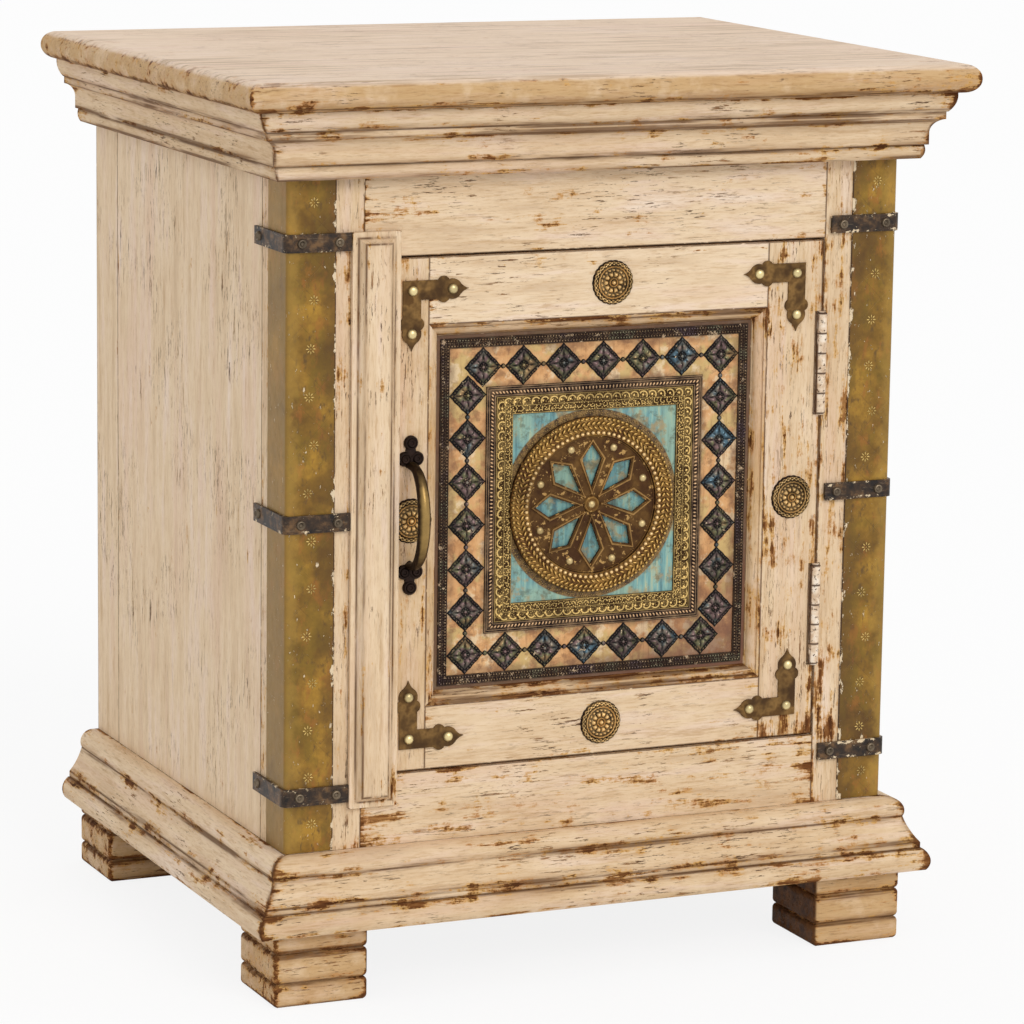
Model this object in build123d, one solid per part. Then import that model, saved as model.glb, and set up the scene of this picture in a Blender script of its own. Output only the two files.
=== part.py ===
from build123d import *
from math import cos, pi, sin, sqrt, tan
import os

os.makedirs("parts", exist_ok=True)

# A one-door bedside cabinet, in millimetres. X runs to the right, Y to the back, Z up.
# The front faces -Y. The origin is under the middle of the whole object, on the floor.

# ---- carcass ----
case_width = 433.5
case_depth = 372.0
case_height = 531.0
foot_height = 50.0
post_width = 52.0
post_depth = 45.0
side_thickness = 18.0
back_thickness = 10.0
rail_thickness = 22.0
top_rail_height = 96.75
bottom_rail_height = 95.75
corner_round = 2.0
board_thickness = 14.0
board_clearance = 0.5
cleat_size = 16.0
floor_drop = 8.0
shelf_level = 268.0
shelf_setback = 4.0
cut_margin = 5.0

# ---- top board ----
top_thickness = 19.0
top_overhang = 40.4
top_nose_radius = 9.2

# ---- cornice, heights from its lower edge up, overhangs from the carcass face ----
cornice_bead_height = 9.5
cornice_bead_overhang = 13.8
cornice_band_height = 8.5
cornice_band_overhang = 15.5
cornice_cove_height = 9.0
cornice_fillet_height = 5.0
cornice_fillet_overhang = 23.5
cornice_ovolo_height = 13.0
cornice_ovolo_overhang = 28.9
bead_set_in = 2.2
ovolo_step = 0.9

# ---- base moulding, the same way ----
base_ovolo_height = 15.0
base_ovolo_overhang = 27.5
base_fillet_height = 4.0
base_fillet_overhang = 22.0
base_cove_height = 17.0
base_cove_hollow = 0.6
base_torus_height = 12.6
base_torus_overhang = 13.6
base_top_overhang = 4.5
ovolo_undercut = 2.2

# ---- feet ----
foot_width = 65.0
foot_depth = 64.7
foot_side_overhang = 11.8
foot_front_overhang = 13.1
foot_back_overhang = 6.6
foot_low_tier = 15.3
foot_middle_tier = 20.0
foot_tier_round = 3.4
foot_core_inset = 2.6

# ---- brass corners and iron straps ----
brass_thickness = 0.8
brass_leg = 32.5
brass_end_gap = 0.5
strap_thickness = 2.0
strap_height = 11.6
strap_side_leg = 52.0
strap_low_rise = 4.4
strap_drop_right = 2.2
strap_front_leg_right = 48.5
strap_nail_inset = 8.5
nail_head_radius = 3.2
nail_head_height = 1.8
nail_shank_radius = 1.1
nail_length = 14.0

# ---- door ----
door_gap = 1.5
door_thickness = 20.0
door_proud = 0.3
left_stile_width = 43.25
right_stile_width = 40.25
top_door_rail = 43.25
bottom_door_rail = 41.75
panel_recess = 7.0
panel_thickness = 8.0
panel_tongue = 7.0
panel_tongue_clearance = 0.3
bead_width = 8.8
bead_flat = 2.2
bead_step = 1.2
bead_toe = 1.0

# ---- cover strip on the closing edge ----
strip_width = 33.0
strip_lap = 9.2
strip_lap_top = 18.25
strip_lap_bottom = 21.25
strip_edge_thickness = 3.5
strip_thickness = 8.0
strip_edge_flat = 4.0
strip_field_margin = 7.3

# ---- butt hinges ----
hinge_length = 67.0
hinge_knuckles = 5
hinge_inset = 82.3
barrel_radius = 3.5
pin_radius = 1.6
pin_clearance = 0.05
pin_head_radius = 2.4
pin_head_height = 1.2
hinge_axis_proud = 1.2
leaf_thickness = 1.2
leaf_gap = 0.3
leaf_depth = 16.0
tab_overlap = 1.0
barrel_clearance = 0.35
knuckle_gap = 0.2
recess_margin = 1.4
screw_radius = 1.4
screw_head_radius = 2.8
screw_length = 13.0
screw_spacing = 23.0

# ---- pull ----
pull_x_inset = 31.2
pull_raise = 1.2
pull_span = 74.0
pull_grip_span = 62.0
pull_stand_off = 24.6
pull_grip_radius = 3.7
pull_plate_thickness = 2.2
pull_lobe_radius = 4.6
pull_lobe_spread = 4.1
pull_lobe_pitch = 10.4
pull_screw_radius = 3.0
pull_screw_head = 1.2

# ---- corner brackets ----
bracket_thickness = 1.2
bracket_arm_width = 12.5
bracket_reach = 45.6
bracket_bump_radius = 4.2
bracket_bump_overhang = 2.3
bracket_bump_place = 28.2
bracket_spade_radius = 6.6
bracket_nail_inset = 6.6
bracket_nail_reach = 34.4
bracket_tip_bow = 0.9
bracket_inset_right = 13.2
bracket_strip_gap = 0.2
bracket_inset_z = 14.4
dome_radius = 3.4
dome_height = 2.6

# ---- rosettes ----
rosette_radius = 14.8
rosette_edge = 1.4
rosette_ring_radius = 10.5
rosette_ring_width = 2.5
rosette_ring_height = 2.6
rosette_boss_radius = 4.0
rosette_boss_height = 5.0
rosette_top_offset = 9.3
rosette_bottom_offset = 6.0
rosette_right_offset = 0.5
rosette_right_drop = 4.2
rosette_left_drop = 2.5
rosette_left_inset = 31.75

# ---- panel trim ----
trim_thickness = 0.8
outer_border_width = 6.5
outer_border_margin = 2.2
diamond_size = 25.4
diamond_pitch = 28.5
inner_border_width = 6.6
gold_band_width = 12.0
band_gap = 0.4
medallion_inset = 0.3
medallion_shift = 2.5
medallion_thickness = 1.6
medallion_ring_width = 12.5
medallion_ring_height = 3.4
medallion_ring_round = 1.2
petal_count = 8
petal_nail_gap = 8.4
petal_ring_gap = 6.0
petal_spoke_width = 10.9
petal_shoulder_share = 0.66
medallion_nail_radius = 2.6
medallion_nail_height = 2.0

# ---- magnet catch ----
catch_drop = 31.0
catch_length = 46.0
catch_depth = 13.0
catch_width = 12.0
catch_air = 0.4
strike_thickness = 1.2

# ---- places that follow from the sizes above ----
overall_depth = top_overhang + case_depth + foot_back_overhang
front_y = -overall_depth / 2 + top_overhang
back_y = front_y + case_depth
half_width = case_width / 2
case_bottom = foot_height
case_top = case_bottom + case_height
cornice_height = (cornice_bead_height + cornice_band_height + cornice_cove_height
                  + cornice_fillet_height + cornice_ovolo_height)
cornice_bottom = case_top - cornice_height
base_height = base_ovolo_height + base_fillet_height + base_cove_height + base_torus_height
base_top = case_bottom + base_height
post_inner = half_width - post_width
side_inner = half_width - side_thickness
front_post_back = front_y + post_depth
back_post_front = back_y - post_depth
opening_bottom = case_bottom + bottom_rail_height
opening_top = case_top - top_rail_height

door_front = front_y - door_proud
door_back = door_front + door_thickness
door_left = -post_inner + door_gap
door_right = post_inner - door_gap
door_bottom = opening_bottom + door_gap
door_top = opening_top - door_gap
panel_left = door_left + left_stile_width
panel_right = door_right - right_stile_width
panel_bottom = door_bottom + bottom_door_rail
panel_top = door_top - top_door_rail
panel_face = door_front + panel_recess
panel_back = panel_face + panel_thickness
strip_left = -post_inner - strip_lap
strip_right = strip_left + strip_width
strip_middle = (strip_left + strip_right) / 2
strip_low = door_bottom - strip_lap_bottom
strip_high = door_top + strip_lap_top
door_middle_z = (door_bottom + door_top) / 2
hinge_x = door_right
hinge_y = front_y - hinge_axis_proud
strap_levels = (strip_low + strap_low_rise + strap_height / 2, door_middle_z, strip_high - strap_height / 2)


def box_between(x0, x1, y0, y1, z0, z1):
    """A box from its lowest and highest corner."""
    return Pos((x0 + x1) / 2, (y0 + y1) / 2, (z0 + z1) / 2) * Box(x1 - x0, y1 - y0, z1 - z0)


def prism_y(points, y0, y1):
    """An outline of (x, z) points, extruded from y0 back to y1."""
    face = Plane.XZ * make_face(Polyline(*points, close=True))
    return Pos(0, y0, 0) * extrude(face, amount=y1 - y0, dir=(0, 1, 0))


def prism_z(points, z0, z1):
    """An outline of (x, y) points, extruded from z0 up to z1."""
    return Pos(0, 0, z0) * extrude(make_face(Polyline(*points, close=True)), amount=z1 - z0)


def mirror_x(shape):
    """The same piece on the other side of the cabinet."""
    return mirror(shape, about=Plane.YZ)


def save(name, shape):
    """Write one node; a list of solids becomes one group."""
    if isinstance(shape, list):
        solids = [solid for piece in shape for solid in piece.solids()]
        shape = Compound(children=solids)
    export_step(shape, "parts/" + name + ".step")


# ---- dome-headed nails and screws ----

def dome_middle(radius, low, high):
    """Halfway point of a round cap's outline from (radius, low) up to (0, high)."""
    rise = high - low
    ball = (radius ** 2 + rise ** 2) / (2 * rise)
    return radius / 2, high - ball + sqrt(ball ** 2 - radius ** 2 / 4)


def headed_pin(head_radius, head_height, shank_radius, length):
    """A domed head on a straight shank, head up along Z, its underside at Z = 0."""
    outline = (Line((0, -length), (shank_radius, -length))
               + Line((shank_radius, -length), (shank_radius, 0))
               + Line((shank_radius, 0), (head_radius, 0))
               + ThreePointArc((head_radius, 0), dome_middle(head_radius, 0, head_height), (0, head_height))
               + Line((0, head_height), (0, -length)))
    return revolve(Plane.XZ * make_face(outline), axis=Axis.Z)


def place(shape, position, outward):
    """Turn a piece that points up so that it points outward at a position."""
    return Plane(origin=position, z_dir=outward) * shape


def shank_hole(position, outward, radius, length):
    """The hole that a nail or screw is driven into."""
    hole = Pos(0, 0, -length / 2) * Cylinder(radius, length)
    return place(hole, position, outward)


# ---- mouldings ----

def cornice_profile():
    """Section of the cornice: overhang across, height up from its lower edge."""
    band = cornice_bead_height + cornice_band_height
    cove = band + cornice_cove_height
    fillet = cove + cornice_fillet_height
    rise = cornice_fillet_overhang - cornice_band_overhang
    start = cornice_fillet_overhang + ovolo_step
    swell = cornice_ovolo_overhang - start
    bead_top_x = cornice_bead_overhang - bead_set_in / 3
    outline = (Line((0, 0), (cornice_bead_overhang - bead_set_in, 0))
               + ThreePointArc((cornice_bead_overhang - bead_set_in, 0),
                               (cornice_bead_overhang, cornice_bead_height * 0.6),
                               (bead_top_x, cornice_bead_height))
               + Line((bead_top_x, cornice_bead_height), (cornice_band_overhang, cornice_bead_height))
               + Line((cornice_band_overhang, cornice_bead_height), (cornice_band_overhang, band))
               + ThreePointArc((cornice_band_overhang, band),
                               (cornice_band_overhang + rise * 0.31, band + cornice_cove_height * 0.66),
                               (cornice_fillet_overhang, cove))
               + Line((cornice_fillet_overhang, cove), (cornice_fillet_overhang, fillet))
               + Line((cornice_fillet_overhang, fillet), (start, fillet))
               + ThreePointArc((start, fillet),
                               (start + swell * 0.74, fillet + cornice_ovolo_height * 0.38),
                               (cornice_ovolo_overhang, cornice_height))
               + Line((cornice_ovolo_overhang, cornice_height), (0, cornice_height))
               + Line((0, cornice_height), (0, 0)))
    return make_face(outline)


def base_profile():
    """Section of the base moulding: overhang across, height up from its lower edge."""
    fillet = base_ovolo_height + base_fillet_height
    cove = fillet + base_cove_height
    run = base_fillet_overhang - base_torus_overhang
    outline = (Line((0, 0), (base_ovolo_overhang - ovolo_undercut, 0))
               + ThreePointArc((base_ovolo_overhang - ovolo_undercut, 0),
                               (base_ovolo_overhang, base_ovolo_height * 0.36),
                               (base_fillet_overhang + ovolo_step, base_ovolo_height))
               + Line((base_fillet_overhang + ovolo_step, base_ovolo_height),
                      (base_fillet_overhang, base_ovolo_height))
               + Line((base_fillet_overhang, base_ovolo_height), (base_fillet_overhang, fillet))
               + ThreePointArc((base_fillet_overhang, fillet),
                               (base_fillet_overhang - run * base_cove_hollow, fillet + base_cove_height * 0.42),
                               (base_torus_overhang - ovolo_step, cove))
               + ThreePointArc((base_torus_overhang - ovolo_step, cove),
                               (base_torus_overhang - ovolo_step, cove + base_torus_height * 0.62),
                               (base_top_overhang, base_height))
               + Line((base_top_overhang, base_height), (0, base_height))
               + Line((0, base_height), (0, 0)))
    return make_face(outline)


def moulding_runs(profile, bottom, reach):
    """Front and left runs of a moulding, mitred where they meet at the front corner."""
    margin = reach + cut_margin
    front_plane = Plane(origin=(half_width + margin, front_y, bottom), x_dir=(0, -1, 0), z_dir=(-1, 0, 0))
    front = extrude(front_plane * profile, amount=case_width + 2 * margin)
    front_plan = [(-half_width, front_y), (half_width, front_y),
                  (half_width + margin, front_y - margin), (-half_width - margin, front_y - margin)]
    front = front & prism_z(front_plan, 0, case_top)
    side_plane = Plane(origin=(-half_width, front_y - margin, bottom), x_dir=(-1, 0, 0), z_dir=(0, 1, 0))
    side = extrude(side_plane * profile, amount=back_y - front_y + margin)
    side_plan = [(-half_width, front_y), (-half_width, back_y),
                 (-half_width - margin, back_y), (-half_width - margin, front_y - margin)]
    side = side & prism_z(side_plan, 0, case_top)
    return front, side


def corner_wrap(front_leg, side_leg, bottom, height, lift, thickness):
    """A sheet folded round the left front corner, lifted off the wood by lift."""
    inner_round = corner_round + lift
    outer_round = inner_round + thickness
    inner_x = -half_width - lift
    inner_y = front_y - lift
    outer_x = inner_x - thickness
    outer_y = inner_y - thickness
    front_end = -half_width + front_leg
    side_end = front_y + side_leg
    centre_x = inner_x + inner_round
    centre_y = inner_y + inner_round
    bend = sqrt(0.5)
    outline = (Line((front_end, outer_y), (centre_x, outer_y))
               + ThreePointArc((centre_x, outer_y),
                               (centre_x - outer_round * bend, centre_y - outer_round * bend),
                               (outer_x, centre_y))
               + Line((outer_x, centre_y), (outer_x, side_end))
               + Line((outer_x, side_end), (inner_x, side_end))
               + Line((inner_x, side_end), (inner_x, centre_y))
               + ThreePointArc((inner_x, centre_y),
                               (centre_x - inner_round * bend, centre_y - inner_round * bend),
                               (centre_x, inner_y))
               + Line((centre_x, inner_y), (front_end, inner_y))
               + Line((front_end, inner_y), (front_end, outer_y)))
    return Pos(0, 0, bottom) * extrude(make_face(outline), amount=height)


# ---- straps and their nails ----
strap_lift = brass_thickness
strap_face = strap_lift + strap_thickness
strap_front_leg_left = strip_left - 0.4 + half_width


def strap_nail_places(front_leg, level):
    """Seats of one left-hand strap's nails: two on the front leg, one on the side leg."""
    seat_y = front_y - strap_face
    seat_x = -half_width - strap_face
    return [((-half_width + strap_nail_inset, seat_y, level), (0, -1, 0)),
            ((-half_width + front_leg - strap_nail_inset, seat_y, level), (0, -1, 0)),
            ((seat_x, front_y + strap_side_leg - strap_nail_inset, level), (-1, 0, 0))]


def strap_set(front_leg, drop):
    """Three left-hand straps with their nails and nail holes."""
    straps = []
    nails = []
    holes = []
    for middle in strap_levels:
        level = middle - drop
        strap = corner_wrap(front_leg, strap_side_leg, level - strap_height / 2,
                            strap_height, strap_lift, strap_thickness)
        for seat, outward in strap_nail_places(front_leg, level):
            nail = headed_pin(nail_head_radius, nail_head_height, nail_shank_radius, nail_length)
            hole = shank_hole(seat, outward, nail_shank_radius, nail_length)
            nails.append(place(nail, seat, outward))
            holes.append(hole)
            strap = strap - hole
        straps.append(strap)
    return straps, nails, holes


left_straps, left_nails, left_holes = strap_set(strap_front_leg_left, 0)
right_straps, right_nails, right_holes = strap_set(strap_front_leg_right, strap_drop_right)


def brass_corner(holes):
    """Brass sheet folded round a front corner between base moulding and cornice."""
    height = cornice_bottom - base_top - 2 * brass_end_gap
    sheet = corner_wrap(brass_leg, brass_leg, base_top + brass_end_gap, height, 0, brass_thickness)
    for hole in holes:
        sheet = sheet - hole
    return sheet


save("brass_corner_left", brass_corner(left_holes))
save("brass_corner_right", mirror_x(brass_corner(right_holes)))
save("straps_left", left_straps)
save("straps_right", [mirror_x(strap) for strap in right_straps])
save("strap_nails", left_nails + [mirror_x(nail) for nail in right_nails])


# ---- hinges ----
knuckle_pitch = hinge_length / hinge_knuckles
gap_middle = (door_right + post_inner) / 2
door_leaf_x = (gap_middle - leaf_gap / 2 - leaf_thickness, gap_middle - leaf_gap / 2)
frame_leaf_x = (gap_middle + leaf_gap / 2, gap_middle + leaf_gap / 2 + leaf_thickness)
leaf_back = front_y + leaf_depth
plate_start = hinge_y + barrel_radius + barrel_clearance
tab_start = hinge_y + pin_radius + tab_overlap
screw_offsets = (-screw_spacing, 0, screw_spacing)


def hinge_screw(z, face_x, direction):
    """A flat-headed screw from a leaf's open face into the wood; direction is +1 or -1 along X."""
    head = Pos(0, 0, leaf_thickness / 2) * Cone(screw_head_radius, screw_radius, leaf_thickness)
    shank = Pos(0, 0, screw_length / 2) * Cylinder(screw_radius, screw_length)
    middle_y = (plate_start + leaf_back) / 2
    return place(head + shank, (face_x, middle_y, z), (direction, 0, 0))


def hinge_leaf(level, span_x, own_knuckles, screws):
    """One leaf: a plate in the gap, the knuckles that are curled from it, and its screw holes."""
    bottom = level - hinge_length / 2
    leaf = box_between(span_x[0], span_x[1], plate_start, leaf_back, bottom, bottom + hinge_length)
    bore = Pos(hinge_x, hinge_y, level) * Cylinder(pin_radius + pin_clearance, hinge_length + 2)
    for number in own_knuckles:
        low = bottom + number * knuckle_pitch + knuckle_gap / 2
        high = low + knuckle_pitch - knuckle_gap
        knuckle = Pos(hinge_x, hinge_y, (low + high) / 2) * Cylinder(barrel_radius, high - low)
        tab = box_between(span_x[0], span_x[1], tab_start, plate_start, low, high)
        leaf = leaf + knuckle + tab
    leaf = leaf - bore
    for screw in screws:
        leaf = leaf - screw
    return leaf


def hinge_recess(side_x0, side_x1, level):
    """Room cut in the wood for the barrel, over the hinge's length."""
    bottom = level - hinge_length / 2 - recess_margin
    top = level + hinge_length / 2 + recess_margin
    return box_between(side_x0, side_x1, front_y - cut_margin, plate_start, bottom, top)


frame_leaves = []
door_leaves = []
frame_screws = []
door_screws = []
pins = []
post_cuts = []
stile_cuts = []
for level in (door_bottom + hinge_inset, door_top - hinge_inset):
    low = level - hinge_length / 2
    high = level + hinge_length / 2
    leaf_frame_screws = [hinge_screw(level + offset, frame_leaf_x[0], 1) for offset in screw_offsets]
    leaf_door_screws = [hinge_screw(level + offset, door_leaf_x[1], -1) for offset in screw_offsets]
    frame_leaves.append(hinge_leaf(level, frame_leaf_x, (0, 2, 4), leaf_frame_screws))
    door_leaves.append(hinge_leaf(level, door_leaf_x, (1, 3), leaf_door_screws))
    pin = Pos(hinge_x, hinge_y, level) * Cylinder(pin_radius, hinge_length)
    for end in (-1, 1):
        cap = Pos(hinge_x, hinge_y, level + end * (hinge_length / 2 + pin_head_height / 2))
        pin = pin + cap * Cylinder(pin_head_radius, pin_head_height)
    pins.append(pin)
    post_cuts.append(box_between(post_inner - 1, frame_leaf_x[1], front_y - 1, leaf_back, low, high))
    stile_cuts.append(box_between(door_leaf_x[0], door_right + 1, front_y - 1, leaf_back, low, high))
    post_cuts.append(hinge_recess(post_inner - 1, hinge_x + barrel_radius + barrel_clearance, level))
    stile_cuts.append(hinge_recess(hinge_x - barrel_radius - recess_margin, door_right + 1, level))
    frame_screws += leaf_frame_screws
    door_screws += leaf_door_screws
post_cuts += frame_screws
stile_cuts += door_screws

save("hinge_frame_leaves", frame_leaves)
save("hinge_door_leaves", door_leaves)
save("hinge_pins", pins)
save("frame_hinge_screws", frame_screws)
save("door_hinge_screws", door_screws)


# ---- carcass pieces ----

def front_post(cuts):
    """Left front corner post, its outer front edge eased."""
    post = box_between(-half_width, -post_inner, front_y, front_post_back, case_bottom, case_top)
    outer_edge = post.edges().filter_by(Axis.Z).sort_by(lambda edge: edge.center().X + edge.center().Y)[0]
    post = fillet(outer_edge, corner_round)
    for cut in cuts:
        post = post - cut
    return post


def back_post():
    """Left back corner post."""
    return box_between(-half_width, -post_inner, back_post_front, back_y, case_bottom, case_top)


def side_panel(holes):
    """Left side panel, flush with the posts between which it is glued."""
    panel = box_between(-half_width, -side_inner, front_post_back, back_post_front, case_bottom, case_top)
    for hole in holes:
        panel = panel - hole
    return panel


save("post_front_left", front_post(left_holes))
save("post_front_right", mirror_x(front_post(right_holes + [mirror_x(cut) for cut in post_cuts])))
save("post_back_left", back_post())
save("post_back_right", mirror_x(back_post()))
save("side_panel_left", side_panel(left_holes))
save("side_panel_right", mirror_x(side_panel(right_holes)))
rail_back = front_y + rail_thickness
save("top_rail", box_between(-post_inner, post_inner, front_y, rail_back, opening_top, case_top))
save("bottom_rail", box_between(-post_inner, post_inner, front_y, rail_back, case_bottom, opening_bottom))
save("back_panel", box_between(-post_inner, post_inner, back_y - back_thickness, back_y,
                               case_bottom, case_top))


def inner_board(front_edge, top):
    """A board between the side panels, notched round the posts that it passes."""
    clear = board_clearance
    bottom = top - board_thickness
    board = box_between(-side_inner + clear, side_inner - clear, front_edge, back_y - back_thickness - clear,
                        bottom, top)
    for side in (-1, 1):
        outer = side * (half_width + clear)
        inner = side * (post_inner - clear)
        low_x = min(outer, inner)
        high_x = max(outer, inner)
        board = board - box_between(low_x, high_x, front_y, front_post_back + clear, bottom - 1, top + 1)
        board = board - box_between(low_x, high_x, back_post_front - clear, back_y, bottom - 1, top + 1)
    return board


def board_cleats(top):
    """The pair of battens under a board, fixed to the side panels."""
    high = top - board_thickness
    left = box_between(-side_inner, -side_inner + cleat_size, front_post_back + board_clearance,
                       back_post_front - board_clearance, high - cleat_size, high)
    return [left, mirror_x(left)]


floor_top = opening_bottom - floor_drop
save("floor_board", inner_board(rail_back + board_clearance, floor_top))
shelf_top = case_bottom + shelf_level
save("shelf", inner_board(front_post_back + shelf_setback, shelf_top))
save("board_cleats", board_cleats(floor_top) + board_cleats(shelf_top))

cornice_front, cornice_left = moulding_runs(cornice_profile(), cornice_bottom, cornice_ovolo_overhang)
save("cornice_front", cornice_front)
save("cornice_left", cornice_left)
save("cornice_right", mirror_x(cornice_left))
base_front, base_left = moulding_runs(base_profile(), case_bottom, base_ovolo_overhang)
save("base_moulding_front", base_front)
save("base_moulding_left", base_left)
save("base_moulding_right", mirror_x(base_left))


def top_board():
    """Top board with a bullnose edge all round, mitred at its corners."""
    board = box_between(-half_width - top_overhang, half_width + top_overhang,
                        front_y - top_overhang, back_y, case_top, case_top + top_thickness)
    nose = min(top_nose_radius, 0.49 * top_thickness)
    top_edges = board.faces().sort_by(Axis.Z)[-1].edges()
    bottom_edges = board.faces().sort_by(Axis.Z)[0].edges()
    return fillet(top_edges + bottom_edges, nose)


save("top_board", top_board())


def foot():
    """Block foot of three rounded tiers, low corner at the origin."""
    top_tier = foot_height - foot_low_tier - foot_middle_tier
    inset = foot_core_inset
    block = box_between(inset, foot_width - inset, inset, foot_depth - inset, 0, foot_height)
    bottom = 0
    for tier in (foot_low_tier, foot_middle_tier, top_tier):
        slab = box_between(0, foot_width, 0, foot_depth, bottom, bottom + tier)
        block = block + fillet(slab.edges(), foot_tier_round)
        bottom = bottom + tier
    return block


foot_left = -half_width - foot_side_overhang
foot_right = half_width + foot_side_overhang - foot_width
foot_front = front_y - foot_front_overhang
foot_back = back_y + foot_back_overhang - foot_depth
save("foot_front_left", Pos(foot_left, foot_front, 0) * foot())
save("foot_front_right", Pos(foot_right, foot_front, 0) * foot())
save("foot_back_left", Pos(foot_left, foot_back, 0) * foot())
save("foot_back_right", Pos(foot_right, foot_back, 0) * foot())


# ---- corner brackets on the door ----

def bracket_arm():
    """One arm of a bracket along +X from the corner: a bump on each side, a round nail seat and a tip."""
    half_arm = bracket_arm_width / 2
    bar = Pos(bracket_nail_reach / 2, half_arm) * Rectangle(bracket_nail_reach, bracket_arm_width)
    arm = bar + Pos(bracket_nail_reach, half_arm) * Circle(bracket_spade_radius)
    bump_aside = half_arm + bracket_bump_overhang - bracket_bump_radius
    for side in (-1, 1):
        arm = arm + Pos(bracket_bump_place, half_arm + side * bump_aside) * Circle(bracket_bump_radius)
    spread = bracket_spade_radius * sqrt(0.5)
    shoulder = bracket_nail_reach + spread
    middle = (shoulder + bracket_reach) / 2
    bow = spread / 2 - bracket_tip_bow
    flank = ThreePointArc((shoulder, half_arm - spread), (middle, half_arm - bow), (bracket_reach, half_arm))
    other_flank = ThreePointArc((bracket_reach, half_arm), (middle, half_arm + bow), (shoulder, half_arm + spread))
    heel = Polyline((shoulder, half_arm + spread), (bracket_nail_reach, half_arm), (shoulder, half_arm - spread))
    return arm + make_face(flank + other_flank + heel)


def corner_bracket(corner_x, corner_z, turn_x, turn_z):
    """An L bracket on the door's face; turn_x and turn_z are the ways its arms run."""
    across = bracket_arm()
    down = mirror(across, about=Plane(origin=(0, 0, 0), z_dir=(1, -1, 0)))
    plate = extrude(across + down, amount=bracket_thickness)
    seats = []
    half_arm = bracket_arm_width / 2
    for along, aside in ((bracket_nail_inset, bracket_nail_inset), (bracket_nail_reach, half_arm),
                         (half_arm, bracket_nail_reach)):
        seats.append((corner_x + turn_x * along, door_front - bracket_thickness, corner_z + turn_z * aside))
    if turn_x < 0:
        plate = mirror(plate, about=Plane.YZ)
    if turn_z < 0:
        plate = mirror(plate, about=Plane.XZ)
    plate = Plane(origin=(corner_x, door_front, corner_z), x_dir=(1, 0, 0), z_dir=(0, -1, 0)) * plate
    return plate, seats


left_corner_x = strip_right + bracket_bump_overhang + bracket_strip_gap
right_corner_x = door_right - bracket_inset_right
bracket_corners = {
    "bracket_top_left": (left_corner_x, door_top - bracket_inset_z, 1, -1),
    "bracket_top_right": (right_corner_x, door_top - bracket_inset_z, -1, -1),
    "bracket_bottom_right": (right_corner_x, door_bottom + bracket_inset_z, -1, 1),
    "bracket_bottom_left": (left_corner_x, door_bottom + bracket_inset_z, 1, 1),
}
door_face_cuts = []
bracket_nails = []
for name, (corner_x, corner_z, turn_x, turn_z) in bracket_corners.items():
    plate, seats = corner_bracket(corner_x, corner_z, turn_x, turn_z)
    for seat in seats:
        nail = headed_pin(dome_radius, dome_height, nail_shank_radius, nail_length)
        hole = shank_hole(seat, (0, -1, 0), nail_shank_radius, nail_length)
        bracket_nails.append(place(nail, seat, (0, -1, 0)))
        door_face_cuts.append(hole)
        plate = plate - hole
    save(name, plate)
save("bracket_nails", bracket_nails)


# ---- rosettes ----

def rosette():
    """A stamped disc: low rim, raised ring and a boss, facing up, underside at Z = 0."""
    ring_inner = rosette_ring_radius - rosette_ring_width
    outline = (Line((0, 0), (rosette_radius, 0))
               + Line((rosette_radius, 0), (rosette_radius, rosette_edge))
               + ThreePointArc((rosette_radius, rosette_edge),
                               ((rosette_radius + rosette_ring_radius) / 2, rosette_ring_height),
                               (rosette_ring_radius, rosette_ring_height))
               + Line((rosette_ring_radius, rosette_ring_height), (ring_inner, rosette_edge))
               + Line((ring_inner, rosette_edge), (rosette_boss_radius, rosette_ring_height))
               + ThreePointArc((rosette_boss_radius, rosette_ring_height),
                               dome_middle(rosette_boss_radius, rosette_ring_height, rosette_boss_height),
                               (0, rosette_boss_height))
               + Line((0, rosette_boss_height), (0, 0)))
    return revolve(Plane.XZ * make_face(outline), axis=Axis.Z)


rosette_top_z = (panel_top + door_top) / 2
rosette_bottom_z = (panel_bottom + door_bottom) / 2
rosette_right_x = (panel_right + door_right) / 2 + rosette_right_offset
rosette_left_x = door_left + rosette_left_inset
rosette_right_z = door_middle_z - rosette_right_drop
rosette_left_z = door_middle_z - rosette_left_drop
strip_keep_out = box_between(strip_left, strip_right + bracket_strip_gap, door_front - strip_thickness,
                             door_front, door_bottom, door_top)
rosettes = []
for centre_x, centre_z in ((rosette_top_offset, rosette_top_z), (rosette_bottom_offset, rosette_bottom_z),
                           (rosette_right_x, rosette_right_z), (rosette_left_x, rosette_left_z)):
    rosettes.append(place(rosette(), (centre_x, door_front, centre_z), (0, -1, 0)) - strip_keep_out)
save("rosettes", rosettes)


# ---- pull ----
pull_x = door_left + pull_x_inset
pull_level = door_middle_z + pull_raise


def pull_plate_centres(end):
    """Middles of the three lobes of an end plate; end is +1 for the upper, -1 for the lower."""
    near = pull_level + end * pull_span / 2
    return [(pull_x - pull_lobe_spread, near), (pull_x + pull_lobe_spread, near),
            (pull_x, near + end * pull_lobe_pitch)]


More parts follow.
